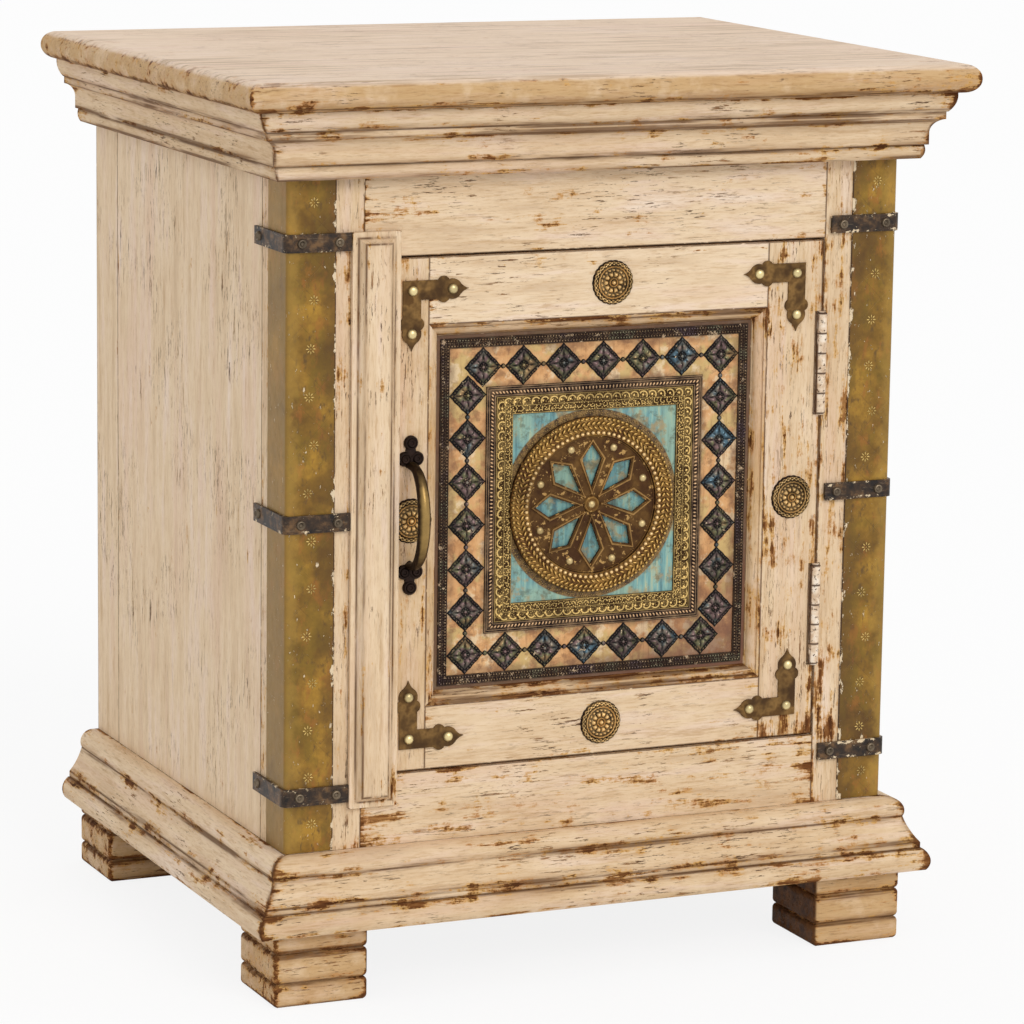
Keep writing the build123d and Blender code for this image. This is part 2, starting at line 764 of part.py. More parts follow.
def pull():
    """Arched grip on two trefoil end plates, one casting."""
    plate_face = door_front - pull_plate_thickness
    middle_y = door_front - pull_plate_thickness / 2
    half_span = pull_grip_span / 2
    arch = ThreePointArc((pull_x, middle_y, pull_level + half_span),
                         (pull_x, door_front - pull_stand_off, pull_level),
                         (pull_x, middle_y, pull_level - half_span))
    section = Plane(origin=arch @ 0, z_dir=arch % 0) * Circle(pull_grip_radius)
    body = sweep(section, path=arch)
    for end in (-1, 1):
        for lobe_x, lobe_z in pull_plate_centres(end):
            lobe = Cylinder(pull_lobe_radius, pull_plate_thickness)
            body = body + place(lobe, (lobe_x, middle_y, lobe_z), (0, -1, 0))
        web_ends = (pull_level + end * (half_span - pull_grip_radius),
                    pull_level + end * (pull_span / 2 + pull_lobe_pitch))
        body = body + box_between(pull_x - pull_grip_radius, pull_x + pull_grip_radius,
                                  plate_face, door_front, min(web_ends), max(web_ends))
    behind_plates = box_between(pull_x - pull_span, pull_x + pull_span, door_front, door_back,
                                pull_level - pull_span, pull_level + pull_span)
    return body - behind_plates


pull_body = pull()
pull_screws = []
pull_screw_length = pull_plate_thickness + panel_recess - board_clearance
for end in (-1, 1):
    for lobe_x, lobe_z in pull_plate_centres(end):
        seat = (lobe_x, door_front - pull_plate_thickness, lobe_z)
        screw = headed_pin(pull_screw_radius, pull_screw_head, nail_shank_radius, pull_screw_length)
        hole = shank_hole(seat, (0, -1, 0), nail_shank_radius, pull_screw_length)
        pull_screws.append(place(screw, seat, (0, -1, 0)))
        head_room = Pos(0, 0, pull_grip_radius) * Cylinder(pull_screw_radius + 0.1, 2 * pull_grip_radius)
        pull_body = pull_body - place(head_room, seat, (0, -1, 0)) - hole
        door_face_cuts.append(hole)
save("pull", pull_body)
save("pull_screws", pull_screws)


# ---- door frame, panel and panel mouldings ----
groove_front = panel_face
groove_back = panel_back
tongue_left = panel_left - panel_tongue
tongue_right = panel_right + panel_tongue
tongue_bottom = panel_bottom - panel_tongue
tongue_top = panel_top + panel_tongue
panel_groove = box_between(tongue_left, tongue_right, groove_front, groove_back, tongue_bottom, tongue_top)


def door_member(x0, x1, z0, z1, cuts):
    """One member of the door frame, grooved for the panel and drilled for what it carries."""
    member = box_between(x0, x1, door_front, door_back, z0, z1) - panel_groove
    for cut in cuts:
        member = member - cut
    return member


save("door_stile_left", door_member(door_left, panel_left, door_bottom, door_top, door_face_cuts))
save("door_stile_right", door_member(panel_right, door_right, door_bottom, door_top,
                                     door_face_cuts + stile_cuts))
save("door_rail_top", door_member(panel_left, panel_right, panel_top, door_top, door_face_cuts))
save("door_rail_bottom", door_member(panel_left, panel_right, door_bottom, panel_bottom, door_face_cuts))

clear = panel_tongue_clearance
door_panel = box_between(tongue_left + clear, tongue_right - clear, groove_front, groove_back,
                         tongue_bottom + clear, tongue_top - clear)


def bead_section():
    """Section of the panel moulding: across from the frame inwards, height up from the panel."""
    toe = bead_width - bead_toe
    middle = (bead_flat + (toe - bead_flat) * 0.66, bead_step + (panel_recess - 2 * bead_step) * 0.7)
    outline = (Line((0, 0), (bead_width, 0))
               + Line((bead_width, 0), (toe, bead_step))
               + ThreePointArc((toe, bead_step), middle, (bead_flat, panel_recess - bead_step))
               + Line((bead_flat, panel_recess - bead_step), (bead_flat, panel_recess))
               + Line((bead_flat, panel_recess), (0, panel_recess))
               + Line((0, panel_recess), (0, 0)))
    return make_face(outline)


def bead_run(start, end, inward):
    """A moulding run from start to end, both (x, z), mitred at both ends towards inward."""
    along = Vector(end[0] - start[0], 0, end[1] - start[1])
    direction = along.normalized()
    plane = Plane(origin=(start[0], panel_face, start[1]), x_dir=(inward[0], 0, inward[1]),
                  z_dir=(direction.X, 0, direction.Z))
    run = extrude(plane * bead_section(), amount=along.length)
    step_x = direction.X * bead_width
    step_z = direction.Z * bead_width
    plan = [start, end,
            (end[0] - step_x + inward[0] * bead_width, end[1] - step_z + inward[1] * bead_width),
            (start[0] + step_x + inward[0] * bead_width, start[1] + step_z + inward[1] * bead_width)]
    return run & prism_y(plan, door_front - 1, panel_face + 1)


save("panel_bead_bottom", bead_run((panel_left, panel_bottom), (panel_right, panel_bottom), (0, 1)))
save("panel_bead_right", bead_run((panel_right, panel_bottom), (panel_right, panel_top), (-1, 0)))
save("panel_bead_top", bead_run((panel_right, panel_top), (panel_left, panel_top), (0, -1)))
save("panel_bead_left", bead_run((panel_left, panel_top), (panel_left, panel_bottom), (1, 0)))


# ---- cover strip ----

def cover_strip():
    """Moulded strip on the closing edge, raised field inside a stepped border."""
    edge_face = door_front - strip_edge_thickness
    field_face = door_front - strip_thickness
    middle = (strip_middle, edge_face, (strip_low + strip_high) / 2)
    length = strip_high - strip_low
    base = box_between(strip_left, strip_right, edge_face, door_front, strip_low, strip_high)
    foot_plane = Plane(origin=middle, x_dir=(1, 0, 0), z_dir=(0, -1, 0))
    field_plane = foot_plane.offset(edge_face - field_face)
    foot_face = foot_plane * Rectangle(strip_width - 2 * strip_edge_flat, length - 2 * strip_edge_flat)
    field = field_plane * Rectangle(strip_width - 2 * strip_field_margin, length - 2 * strip_field_margin)
    return base + loft([foot_face.face(), field.face()])


save("cover_strip", cover_strip())


# ---- trim on the panel ----
trim_left = panel_left + bead_width + outer_border_margin
trim_right = panel_right - bead_width - outer_border_margin
trim_bottom = panel_bottom + bead_width + outer_border_margin
trim_top = panel_top - bead_width - outer_border_margin
trim_x = (trim_left + trim_right) / 2
trim_z = (trim_bottom + trim_top) / 2
trim_front = panel_face - trim_thickness


def strip_frame(half_x, half_z, width):
    """Four strips round a rectangle; half_x and half_z reach the outer edges."""
    pieces = []
    for side in (-1, 1):
        low_z = min(side * half_z, side * (half_z - width)) + trim_z
        pieces.append(box_between(trim_x - half_x, trim_x + half_x, trim_front, panel_face,
                                  low_z, low_z + width))
        low_x = min(side * half_x, side * (half_x - width)) + trim_x
        pieces.append(box_between(low_x, low_x + width, trim_front, panel_face,
                                  trim_z - half_z + width, trim_z + half_z - width))
    return pieces


outer_half_x = (trim_right - trim_left) / 2
outer_half_z = (trim_top - trim_bottom) / 2
ring_half_x = outer_half_x - outer_border_width - band_gap - diamond_size / 2
ring_half_z = outer_half_z - outer_border_width - band_gap - diamond_size / 2
inner_half_x = ring_half_x - diamond_size / 2 - band_gap
inner_half_z = ring_half_z - diamond_size / 2 - band_gap
gold_half_x = inner_half_x - inner_border_width - band_gap
gold_half_z = inner_half_z - inner_border_width - band_gap
save("outer_border", strip_frame(outer_half_x, outer_half_z, outer_border_width))
save("inner_border", strip_frame(inner_half_x, inner_half_z, inner_border_width))
save("gold_band", strip_frame(gold_half_x, gold_half_z, gold_band_width))


def ring_point(distance):
    """A point on the diamonds' rectangle, clockwise from its top right corner."""
    sides = (2 * ring_half_z, 2 * ring_half_x, 2 * ring_half_z, 2 * ring_half_x)
    if distance < sides[0]:
        return ring_half_x, ring_half_z - distance
    distance = distance - sides[0]
    if distance < sides[1]:
        return ring_half_x - distance, -ring_half_z
    distance = distance - sides[1]
    if distance < sides[2]:
        return -ring_half_x, -ring_half_z + distance
    distance = distance - sides[2]
    return -ring_half_x + distance, ring_half_z


diamonds = []
perimeter = 4 * (ring_half_x + ring_half_z)
diamond_count = 2 * round(perimeter / (2 * diamond_pitch))
for number in range(diamond_count):
    across, up = ring_point(number * perimeter / diamond_count)
    half = diamond_size / 2
    centre_x = trim_x + across
    centre_z = trim_z + up
    corners = [(centre_x + half, centre_z), (centre_x, centre_z + half),
               (centre_x - half, centre_z), (centre_x, centre_z - half)]
    diamonds.append(prism_y(corners, trim_front, panel_face))
save("panel_diamonds", diamonds)


medallion_radius = min(gold_half_x, gold_half_z) - gold_band_width - medallion_inset
medallion_x = trim_x - medallion_shift
petal_inner = medallion_nail_radius + petal_nail_gap
petal_outer = medallion_radius - medallion_ring_width - petal_ring_gap
petal_shoulder = petal_inner + petal_shoulder_share * (petal_outer - petal_inner)
petal_half_width = petal_shoulder * tan(pi / petal_count) - petal_spoke_width / 2


def medallion():
    """Pierced brass disc: a raised rim, and kite openings between the spokes."""
    disc = Cylinder(medallion_radius, medallion_thickness, align=(Align.CENTER, Align.CENTER, Align.MIN))
    rim = Cylinder(medallion_radius, medallion_ring_height, align=(Align.CENTER, Align.CENTER, Align.MIN))
    hollow = Cylinder(medallion_radius - medallion_ring_width, 4 * medallion_ring_height)
    rim_edge = fillet(rim.edges().sort_by(Axis.Z)[-1], medallion_ring_round)
    body = disc + (rim_edge - hollow)
    kite = make_face(Polyline((petal_inner, 0), (petal_shoulder, -petal_half_width), (petal_outer, 0),
                              (petal_shoulder, petal_half_width), close=True))
    opening = Pos(0, 0, -1) * extrude(kite, amount=medallion_ring_height + 2)
    for number in range(petal_count):
        body = body - Rot(0, 0, 360 / petal_count * number) * opening
    return body


medallion_body = place(medallion(), (medallion_x, trim_front, trim_z), (0, -1, 0))
medallion_seat = trim_front - medallion_thickness
medallion_nails = []
nail_spots = [(0, 0)]
for number in range(petal_count):
    angle = 2 * pi * (number + 0.5) / petal_count
    nail_spots.append((petal_outer * cos(angle), petal_outer * sin(angle)))
for across, up in nail_spots:
    seat = (medallion_x + across, medallion_seat, trim_z + up)
    length = medallion_thickness + trim_thickness + panel_thickness - 1
    nail = headed_pin(medallion_nail_radius, medallion_nail_height, nail_shank_radius, length)
    hole = shank_hole(seat, (0, -1, 0), nail_shank_radius, length)
    medallion_nails.append(place(nail, seat, (0, -1, 0)))
    medallion_body = medallion_body - hole
    door_panel = door_panel - hole
save("medallion", medallion_body)
save("medallion_nails", medallion_nails)
save("door_panel", door_panel)


# ---- magnet catch ----
strike_front = door_back
strike_back = door_back + strike_thickness
catch_front = strike_back + catch_air
catch_top = door_top - catch_drop + catch_length / 2
catch_bottom = catch_top - catch_length
save("catch_magnet", box_between(-post_inner, -post_inner + catch_width, catch_front,
                                 catch_front + catch_depth, catch_bottom, catch_top))
save("strike_plate", box_between(door_left + 1, door_left + 1 + catch_width, strike_front, strike_back,
                                 catch_bottom, catch_top))
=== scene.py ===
# %% [markdown]
# # A bedside cabinet in worn cream paint, with brass and iron fittings
#
# The cabinet is a small painted wooden box with one door. Its front corners are wrapped in brass sheet
# held by iron straps, and the door carries a panel full of stamped metal trim.
# The joinery comes in ready made and stays as it is. What is left to do here is the camera and light,
# the finish of every surface, and the fine metalwork.

# %% Load the joinery
import math

import bmesh
import bpy
from mathutils import Matrix, Vector


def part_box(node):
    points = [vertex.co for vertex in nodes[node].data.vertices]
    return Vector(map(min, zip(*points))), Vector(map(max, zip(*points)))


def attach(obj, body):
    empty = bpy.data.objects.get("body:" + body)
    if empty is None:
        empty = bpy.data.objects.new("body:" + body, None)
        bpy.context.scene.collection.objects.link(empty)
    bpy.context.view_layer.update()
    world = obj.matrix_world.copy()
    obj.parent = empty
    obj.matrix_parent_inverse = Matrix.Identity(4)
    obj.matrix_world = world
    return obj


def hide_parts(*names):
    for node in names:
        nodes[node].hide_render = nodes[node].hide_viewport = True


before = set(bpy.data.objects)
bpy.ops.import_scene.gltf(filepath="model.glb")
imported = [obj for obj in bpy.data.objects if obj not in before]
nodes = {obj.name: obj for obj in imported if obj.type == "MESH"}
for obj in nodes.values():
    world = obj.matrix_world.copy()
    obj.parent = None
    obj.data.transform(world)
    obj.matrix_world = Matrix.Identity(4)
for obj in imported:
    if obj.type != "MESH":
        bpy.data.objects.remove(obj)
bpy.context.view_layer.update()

scene = bpy.context.scene
mm = 0.001

# %% [markdown]
# ## Camera
#
# The camera stands to the left of the door, a little above the top board, and far back with a long lens,
# so the upright edges stay nearly parallel. Its place and turn are given and never change.

# %% Camera
camera_place = Vector((-1.23311, -2.79286, 0.86176))
camera_turn = math.radians(-24.092)
camera_rise = math.radians(10.798)
camera_roll = math.radians(0.801)
lens_length = 158.32

backward = Vector((math.sin(camera_turn) * math.cos(camera_rise),
                   -math.cos(camera_turn) * math.cos(camera_rise),
                   math.sin(camera_rise)))
level_right = Vector((math.cos(camera_turn), math.sin(camera_turn), 0))
level_up = backward.cross(level_right)
right = math.cos(camera_roll) * level_right + math.sin(camera_roll) * level_up
up = math.cos(camera_roll) * level_up - math.sin(camera_roll) * level_right

camera_data = bpy.data.cameras.new("camera")
camera_data.sensor_width = 36
camera_data.lens = lens_length
camera_data.clip_end = 60
camera = bpy.data.objects.new("camera", camera_data)
scene.collection.objects.link(camera)
camera_axes = Matrix((right, up, backward)).transposed().to_4x4()
camera.matrix_world = Matrix.Translation(camera_place) @ camera_axes
scene.camera = camera
scene.view_settings.view_transform = "Standard"
print("camera looks along", [round(-part, 3) for part in backward])

# %% [markdown]
# ## Helpers for node trees
#
# Every finish is a small tree of shader nodes, and the repeated metalwork is a small tree of geometry
# nodes. A tree could be wired link by link, but that is long and hard to read. Here each value in a tree
# is wrapped, so that the signs +, - and * add arithmetic nodes, and one helper adds any other node and
# fills its inputs. A finish then reads from top to bottom like a recipe.

# %% Values that flow through a tree
class Flow:
    """A node's output, which plain arithmetic signs can work on."""

    def __init__(self, socket):
        self.socket = socket
        self.tree = socket.id_data

    def __getitem__(self, label):
        """Another output of the same node."""
        return Flow(self.socket.node.outputs[label])

    def __add__(self, other):
        return maths("ADD", self, other)

    def __sub__(self, other):
        return maths("SUBTRACT", self, other)

    def __rsub__(self, other):
        return maths("SUBTRACT", other, self)

    def __mul__(self, other):
        return maths("MULTIPLY", self, other)

    def __abs__(self):
        return maths("ABSOLUTE", self)


def fill(socket, value):
    """Link a flowing value to an input, or set a plain value on it."""
    if isinstance(value, Flow):
        value.tree.links.new(value.socket, socket)
    else:
        socket.default_value = value


def put(tree, kind, values=(), **settings):
    """Add a node, set it up, fill its inputs, and give back its first output."""
    node = tree.nodes.new(kind)
    for name, value in settings.items():
        setattr(node, name, value)
    for name, value in dict(values).items():
        fill(node.inputs[name], value)
    return Flow(node.outputs[0]) if node.outputs else node


def maths(operation, *terms, **settings):
    """One step of arithmetic on flowing or plain numbers."""
    tree = next(term.tree for term in terms if isinstance(term, Flow))
    return put(tree, "ShaderNodeMath", enumerate(terms), operation=operation, **settings)


def most(first, *others):
    """The largest of several numbers."""
    for other in others:
        first = maths("MAXIMUM", first, other)
    return first


def least(first, second):
    """The smaller of two numbers."""
    return maths("MINIMUM", first, second)


print("signs that add nodes: + - * abs, most, least")

# %% Patterns, colours and masks
def noise(place, scale, detail=3.0, roughness=0.55):
    """Soft random variation; scale is in spots per metre."""
    values = {"Vector": place, "Scale": scale, "Detail": detail, "Roughness": roughness}
    return put(place.tree, "ShaderNodeTexNoise", values)


def fade(value, low, high):
    """0 at low, 1 at high, smooth between them; low may be the larger one."""
    values = {"Value": value, "From Min": low, "From Max": high}
    return put(value.tree, "ShaderNodeMapRange", values, interpolation_type="SMOOTHSTEP")


def patches(place, scale, detail, roughness, low, high):
    """Random patches: 0 between them, 1 inside, with an edge as soft as low and high are apart."""
    return fade(noise(place, scale, detail, roughness), low, high)


def mix(factor, first, second, blend_type="MIX"):
    """Mix two colours."""
    settings = {"data_type": "RGBA", "blend_type": blend_type}
    return put(factor.tree, "ShaderNodeMix", {0: factor, 6: first, 7: second}, **settings)[2]


def ink(red, green, blue):
    """A colour as the eye reads it, 0 to 255, turned into light."""
    shares = [part / 255 for part in (red, green, blue)]
    light = [s / 12.92 if s <= 0.04045 else ((s + 0.055) / 1.055) ** 2.4 for s in shares]
    return (*light, 1.0)


def ramp(value, stops):
    """Colours along a value; stops are (position, colour)."""
    out = put(value.tree, "ShaderNodeValToRGB", {"Fac": value})
    elements = out.socket.node.color_ramp.elements
    while len(elements) < len(stops):
        elements.new(0.5)
    for element, (position, colour) in zip(elements, stops):
        element.position = position
        element.color = colour
    return out


def veils(colour, place, *layers):
    """Lay thin patchy colours over a colour; a layer is (the five numbers of patches, strength, ink)."""
    for shape, strength, tint in layers:
        colour = mix(patches(place, *shape) * strength, colour, ink(*tint))
    return colour


def split(place):
    """The three coordinates of a place."""
    parts = put(place.tree, "ShaderNodeSeparateXYZ", {0: place})
    return parts["X"], parts["Y"], parts["Z"]


def stretched(place, scale, shift=(0, 0, 0)):
    """A place moved and scaled; a small scale draws a pattern out along that axis."""
    return put(place.tree, "ShaderNodeMapping", {"Vector": place, "Location": shift, "Scale": scale})


print("white ink as light:", ink(255, 255, 255))

# %% Groups and finishes
def group(name, inputs, outputs, kind="ShaderNodeTree"):
    """An empty tree with named sockets; gives it, what comes in and the sockets that go out."""
    tree = bpy.data.node_groups.new(name, kind)
    for side, sockets in (("INPUT", inputs), ("OUTPUT", outputs)):
        for label, socket in sockets.items():
            tree.interface.new_socket(label, in_out=side, socket_type="NodeSocket" + socket)
    entry = Flow(tree.nodes.new("NodeGroupInput").outputs[0])
    return tree, entry, tree.nodes.new("NodeGroupOutput").inputs


def new_finish(name, metallic=0.0):
    """A material with one surface shader; gives it, the shader's inputs and the place on the piece."""
    finish = bpy.data.materials.new(name)
    finish.use_nodes = True
    tree = finish.node_tree
    tree.nodes.clear()
    shader = put(tree, "ShaderNodeBsdfPrincipled", {"Metallic": metallic})
    put(tree, "ShaderNodeOutputMaterial", {"Surface": shader})
    return finish, shader.socket.node.inputs, put(tree, "ShaderNodeTexCoord")["Object"]


def coat(shader, colour, roughness, height, depth):
    """Give a shader its colour, its roughness and small relief; depth is in metres."""
    relief = put(height.tree, "ShaderNodeBump", {"Strength": 1.0, "Distance": depth, "Height": height})
    fill(shader["Base Color"], colour)
    fill(shader["Roughness"], roughness)
    fill(shader["Normal"], relief)


print("tree helpers ready")

# %% [markdown]
# ## Light, background and floor
#
# The light is a plain bright room with one soft lamp from the front, so a colour comes out about as it
# is written. The floor and the background are made white by what the camera and mirrors see of them,
# and not by more light on the cabinet, so the floor still keeps the cabinet's soft shadow.

# %% Room and lamp
room_strength = 0.78
lamp_strength = 1.0
lamp_spread = math.radians(28)
lamp_direction = Vector((-0.16, 0.80, -0.52))
WHITE = (1, 1, 1, 1)


def seen_by_eye(tree):
    """1 for rays that show the surroundings to the camera, to a mirror or through glass."""
    rays = put(tree, "ShaderNodeLightPath")
    return most(rays["Is Camera Ray"], rays["Is Glossy Ray"], rays["Is Transmission Ray"])


room = bpy.data.worlds.new("white_room")
scene.world = room
room.use_nodes = True
sky = room.node_tree
sky.nodes.clear()
plain = put(sky, "ShaderNodeBackground", {"Color": WHITE, "Strength": room_strength})
white = put(sky, "ShaderNodeBackground", {"Color": WHITE, "Strength": 1.0})
shown = put(sky, "ShaderNodeMixShader", {0: seen_by_eye(sky), 1: plain, 2: white})
put(sky, "ShaderNodeOutputWorld", {"Surface": shown})

lamp_data = bpy.data.lights.new("soft_lamp", "SUN")
lamp_data.energy = lamp_strength
lamp_data.angle = lamp_spread
lamp = bpy.data.objects.new("soft_lamp", lamp_data)
lamp.rotation_euler = lamp_direction.to_track_quat("-Z", "Y").to_euler()
scene.collection.objects.link(lamp)
print("lamp at strength", lamp_data.energy, "in a room at", room_strength)

# %% Floor
floor_half = 20.0
floor_glow = 0.86
floor_mesh = bpy.data.meshes.new("floor")
corners = [(side_x * floor_half, side_y * floor_half, 0)
           for side_x, side_y in ((-1, -1), (1, -1), (1, 1), (-1, 1))]
floor_mesh.from_pydata(corners, [], [(0, 1, 2, 3)])
floor = bpy.data.objects.new("floor", floor_mesh)
scene.collection.objects.link(floor)
paper = bpy.data.materials.new("white_floor")
paper.use_nodes = True
sheet = paper.node_tree
sheet.nodes.clear()
matt = put(sheet, "ShaderNodeBsdfDiffuse", {"Color": ink(243, 243, 243)})
glow = put(sheet, "ShaderNodeEmission", {"Color": WHITE, "Strength": 1.0})
cover = put(sheet, "ShaderNodeMixShader", {0: seen_by_eye(sheet) * floor_glow, 1: matt, 2: glow})
put(sheet, "ShaderNodeOutputMaterial", {"Surface": cover})
floor_mesh.materials.append(paper)
print("floor, metres across:", 2 * floor_half)

# %% [markdown]
# ## Where a board's arrises are
#
# Paint rubs off first along a board's arrises, the lines where two of its faces meet. A mask for that
# could be painted by hand or read from the mesh, but a board is a box, so its nearest arris follows from
# the box alone: of the three distances to the box's sides, one is zero on the surface, and the next one
# is the distance to the arris. This works the same for every board and needs no mesh detail.

# %% Distance to the arris
SOCKETS = {"Place": "Vector", "Low": "Vector", "High": "Vector"}
arris_tree, entry, leave = group("distance to the arris", SOCKETS, {"Arris": "Float", "Border": "Float"})


def vector_maths(operation, first, second):
    """One step of arithmetic on places."""
    return put(first.tree, "ShaderNodeVectorMath", {0: first, 1: second}, operation=operation)


from_low = vector_maths("SUBTRACT", entry["Place"], entry["Low"])
to_high = vector_maths("SUBTRACT", entry["High"], entry["Place"])
along_x, along_y, along_z = split(vector_maths("MINIMUM", from_low, to_high))
fill(leave["Arris"], most(least(along_x, along_y), least(most(along_x, along_y), along_z)))
fill(leave["Border"], least(along_x, along_z))
print("arris group nodes:", len(arris_tree.nodes))

# %% [markdown]
# ## Worn cream paint
#
# The wood was painted cream, then rubbed and chipped to look old. Seen close up there are five layers:
# a mottled cream ground with faint brush lines along the grain, short dark flecks where the open grain
# shows through, ochre places where the paint is rubbed thin, brown chips where it has gone, and dirt in
# seams and creases, where the creases also get painted shade. It could be painted on each board by
# hand. Noise, stretched along the grain where the wood's fibres make the mark, gives the same layers
# everywhere, and one shared group holds them, so every board wears in the same way but in its own places.

# %% Paint group: the cream ground
SOCKETS = {"Place": "Vector", "Grain": "Vector", "Arris": "Float", "Crease": "Float", "Halo": "Float",
           "Wear": "Float", "Edge": "Float", "Age": "Float"}
paint_tree, entry, leave = group("worn cream paint", SOCKETS,
                                 {"Color": "Color", "Roughness": "Float", "Height": "Float"})
place, grain, arris, crease, halo, wear, edge, age = (entry[label] for label in SOCKETS)
AGED = (0.72, 0.60, 0.43, 1)

tone = noise(place, 12) * 0.35 + noise(grain, 110, 4, 0.6) * 0.65
cream = ramp(tone, [(0.36, ink(216, 189, 156)), (0.44, ink(228, 202, 168)), (0.52, ink(235, 211, 179)),
                    (0.59, ink(236, 212, 188)), (0.68, ink(243, 224, 204))])
cream = veils(cream, grain, ((44, 3, 0.55, 0.52, 0.70), 0.4, (228, 194, 172)))
brush = noise(grain, 900, 4, 0.7)
cream = mix(fade(brush, 0.46, 0.68) * 0.5, cream, ink(202, 166, 124))
cream = veils(cream, grain, ((210, 5, 0.7, 0.55, 0.70), 0.5, (188, 150, 106)))
stained = age * (patches(place, 24, 5, 0.65, 0.34, 0.62) * 0.7 + 0.5)
cream = mix(stained, cream, AGED, "MULTIPLY")
# Dirt and painted shade: a soft brown haze along the wider bands round the creases
dirt_and_shade_haze = halo * patches(grain, 120, 4, 0.65, 0.30, 0.62)
cream = mix(dirt_and_shade_haze * 0.55, cream, ink(150, 108, 68))
print("nodes in the ground:", len(paint_tree.nodes))

# %% Paint group: flecks of open grain
open_grain = patches(place, 15, 4, 0.6, 0.46, 0.60) + (wear * 4.0 + 0.10)
short_flecks = patches(grain, 780, 5, 0.74, 0.595, 0.635) * open_grain
long_flecks = patches(grain, 330, 5, 0.72, 0.615, 0.645) * open_grain
flecks = maths("ADD", short_flecks, long_flecks, use_clamp=True)
fleck_tone = ramp(noise(place, 34), [(0.40, ink(150, 104, 62)), (0.58, ink(78, 44, 20))])
print("nodes with the flecks:", len(paint_tree.nodes))

# %% Paint group: rubbed places, chips and dirt
rubbed_reach = 4.2 * mm
seam_reach = 0.9 * mm
seam_core = 0.2 * mm

chip_noise = noise(grain, 160, 6, 0.75) * 0.55 + noise(place, 48, 7, 0.72) * 0.45
handled = edge * patches(place, 30, 3, 0.55, 0.34, 0.60)
rubbed = fade(arris, rubbed_reach, 0.0) * handled
total = (chip_noise + rubbed) + (halo * 0.07 + wear)
ochre = ramp(noise(place, 70), [(0.38, ink(186, 132, 80)), (0.60, ink(208, 160, 92))])
brown = ramp(noise(grain, 300, 4, 0.7), [(0.36, ink(70, 36, 12)), (0.52, ink(116, 70, 32)),
                                         (0.66, ink(164, 116, 66))])
chips = fade(total, 0.640, 0.665)
bare = mix(chips, mix(fade(total, 0.600, 0.640), cream, ochre), brown)
seam = fade(arris, seam_reach, seam_core) * patches(place, 160, 3, 0.55, 0.28, 0.44)
thin = crease * patches(grain, 90, 5, 0.7, 0.36, 0.56)
thick = fade(halo, 0.55, 0.80) * patches(grain, 60, 4, 0.65, 0.46, 0.60)
# Seams get dirt; the creases' thin lines and their haze are dirt and painted shade together
grime_and_shade = most(seam * 0.8, most(thin, thick * 0.8) * 0.85)
soiled_and_shaded = mix(grime_and_shade, bare, ink(76, 42, 16))
gone = most(chips, flecks, grime_and_shade)
fill(leave["Color"], mix(flecks * 0.9, soiled_and_shaded, fleck_tone))
fill(leave["Roughness"], gone * 0.22 + 0.60)
fill(leave["Height"], (1.0 - gone * 0.6) + brush * 0.25)
print("paint group nodes:", len(paint_tree.nodes))

# %% [markdown]
# ## Painting the boards
#
# A painted piece needs to know three things: which way its grain runs, how worn it is, and where its
# moulding has creases that hold dirt and painted shade. The creases of a moulding are level lines at
# fixed heights, so they are masks of the height above the piece's lower edge, and its mitre is a line at
# 45 degrees through the front corner. The two ends of a board, where it is knocked most, get more wear
# than its middle.

# %% Where boards get dirt, painted shade and wear
GRAIN_SCALES = {"x": (0.10, 1, 1), "y": (1, 0.10, 1), "z": (1, 1, 0.10)}
end_reach = 34 * mm
end_share = 0.1
end_wear = 0.045
crease_width = 1.3 * mm
crease_halo = 5.5 * mm
border_crease_width = 1.2 * mm
border_halo = 3.0 * mm
joint_width = 2.5 * mm
joint_core = 0.6 * mm
joint_halo = 7.0 * mm


def lines_at(value, levels, half_width):
    """1 on thin lines where the value passes the levels, both in metres."""
    found = 0.0
    for level in levels:
        found = maths("MAXIMUM", found, fade(abs(value - level), half_width, 0.0))
    return found


def dirt_and_shade_lines(place, low, border, levels, border_levels, mitre):
    """The creases of a piece, and the dirt and painted shade round them."""
    across, deep, height = split(place)
    if border_levels:
        crease = lines_at(border, border_levels, border_crease_width)
        halo = lines_at(border, border_levels, border_halo) * 0.5
    else:
        above = height - low.z
        crease = lines_at(above, levels, crease_width)
        halo = lines_at(above, levels, crease_halo)
    if mitre is not None:
        half_width, front = mitre
        off_joint = abs((half_width - abs(across)) - (deep - front))
        crease = most(crease, fade(off_joint, joint_width, joint_core))
        halo = most(halo, fade(off_joint, joint_halo, 0.0))
    return crease, halo


def worn_ends(place, low, high, grain):
    """Wear that grows towards both ends of a board."""
    axis = "xyz".index(grain)
    run = split(place)[axis]
    reach = min(end_reach, end_share * (high - low)[axis])
    return fade(least(run - low[axis], high[axis] - run), reach, 0.0) * end_wear


print("wear added at a board's ends:", end_wear)

# %% Faces of their own
LONG_STREAKS = (0.035, 1, 1)


def paler_top_face(colour, place, on_top):
    """A paler, greyer top face with long streaks along the grain."""
    colour = mix(on_top * 0.4, colour, ink(228, 207, 194))
    streaks = patches(stretched(place, LONG_STREAKS), 190, 5, 0.7, 0.50, 0.64) * on_top
    streaks = streaks * patches(place, 9, 3, 0.55, 0.36, 0.56)
    return mix(streaks * 0.75, colour, ink(168, 140, 110))


def shaded_inside(colour, place, along, inner_side):
    """Dark brown painted shade on the side that looks to the middle of the cabinet, streaked along the grain.
    """
    dark = fade(abs(split(place)[0]), inner_side + 2.2 * mm, inner_side + 0.6 * mm)
    inside_shade = ramp(noise(along, 160, 5, 0.7), [(0.38, ink(58, 34, 18)), (0.62, ink(112, 74, 42))])
    return mix(dark, colour, inside_shade)


print("streaks on the top board are drawn out by:", round(1 / LONG_STREAKS[0]))


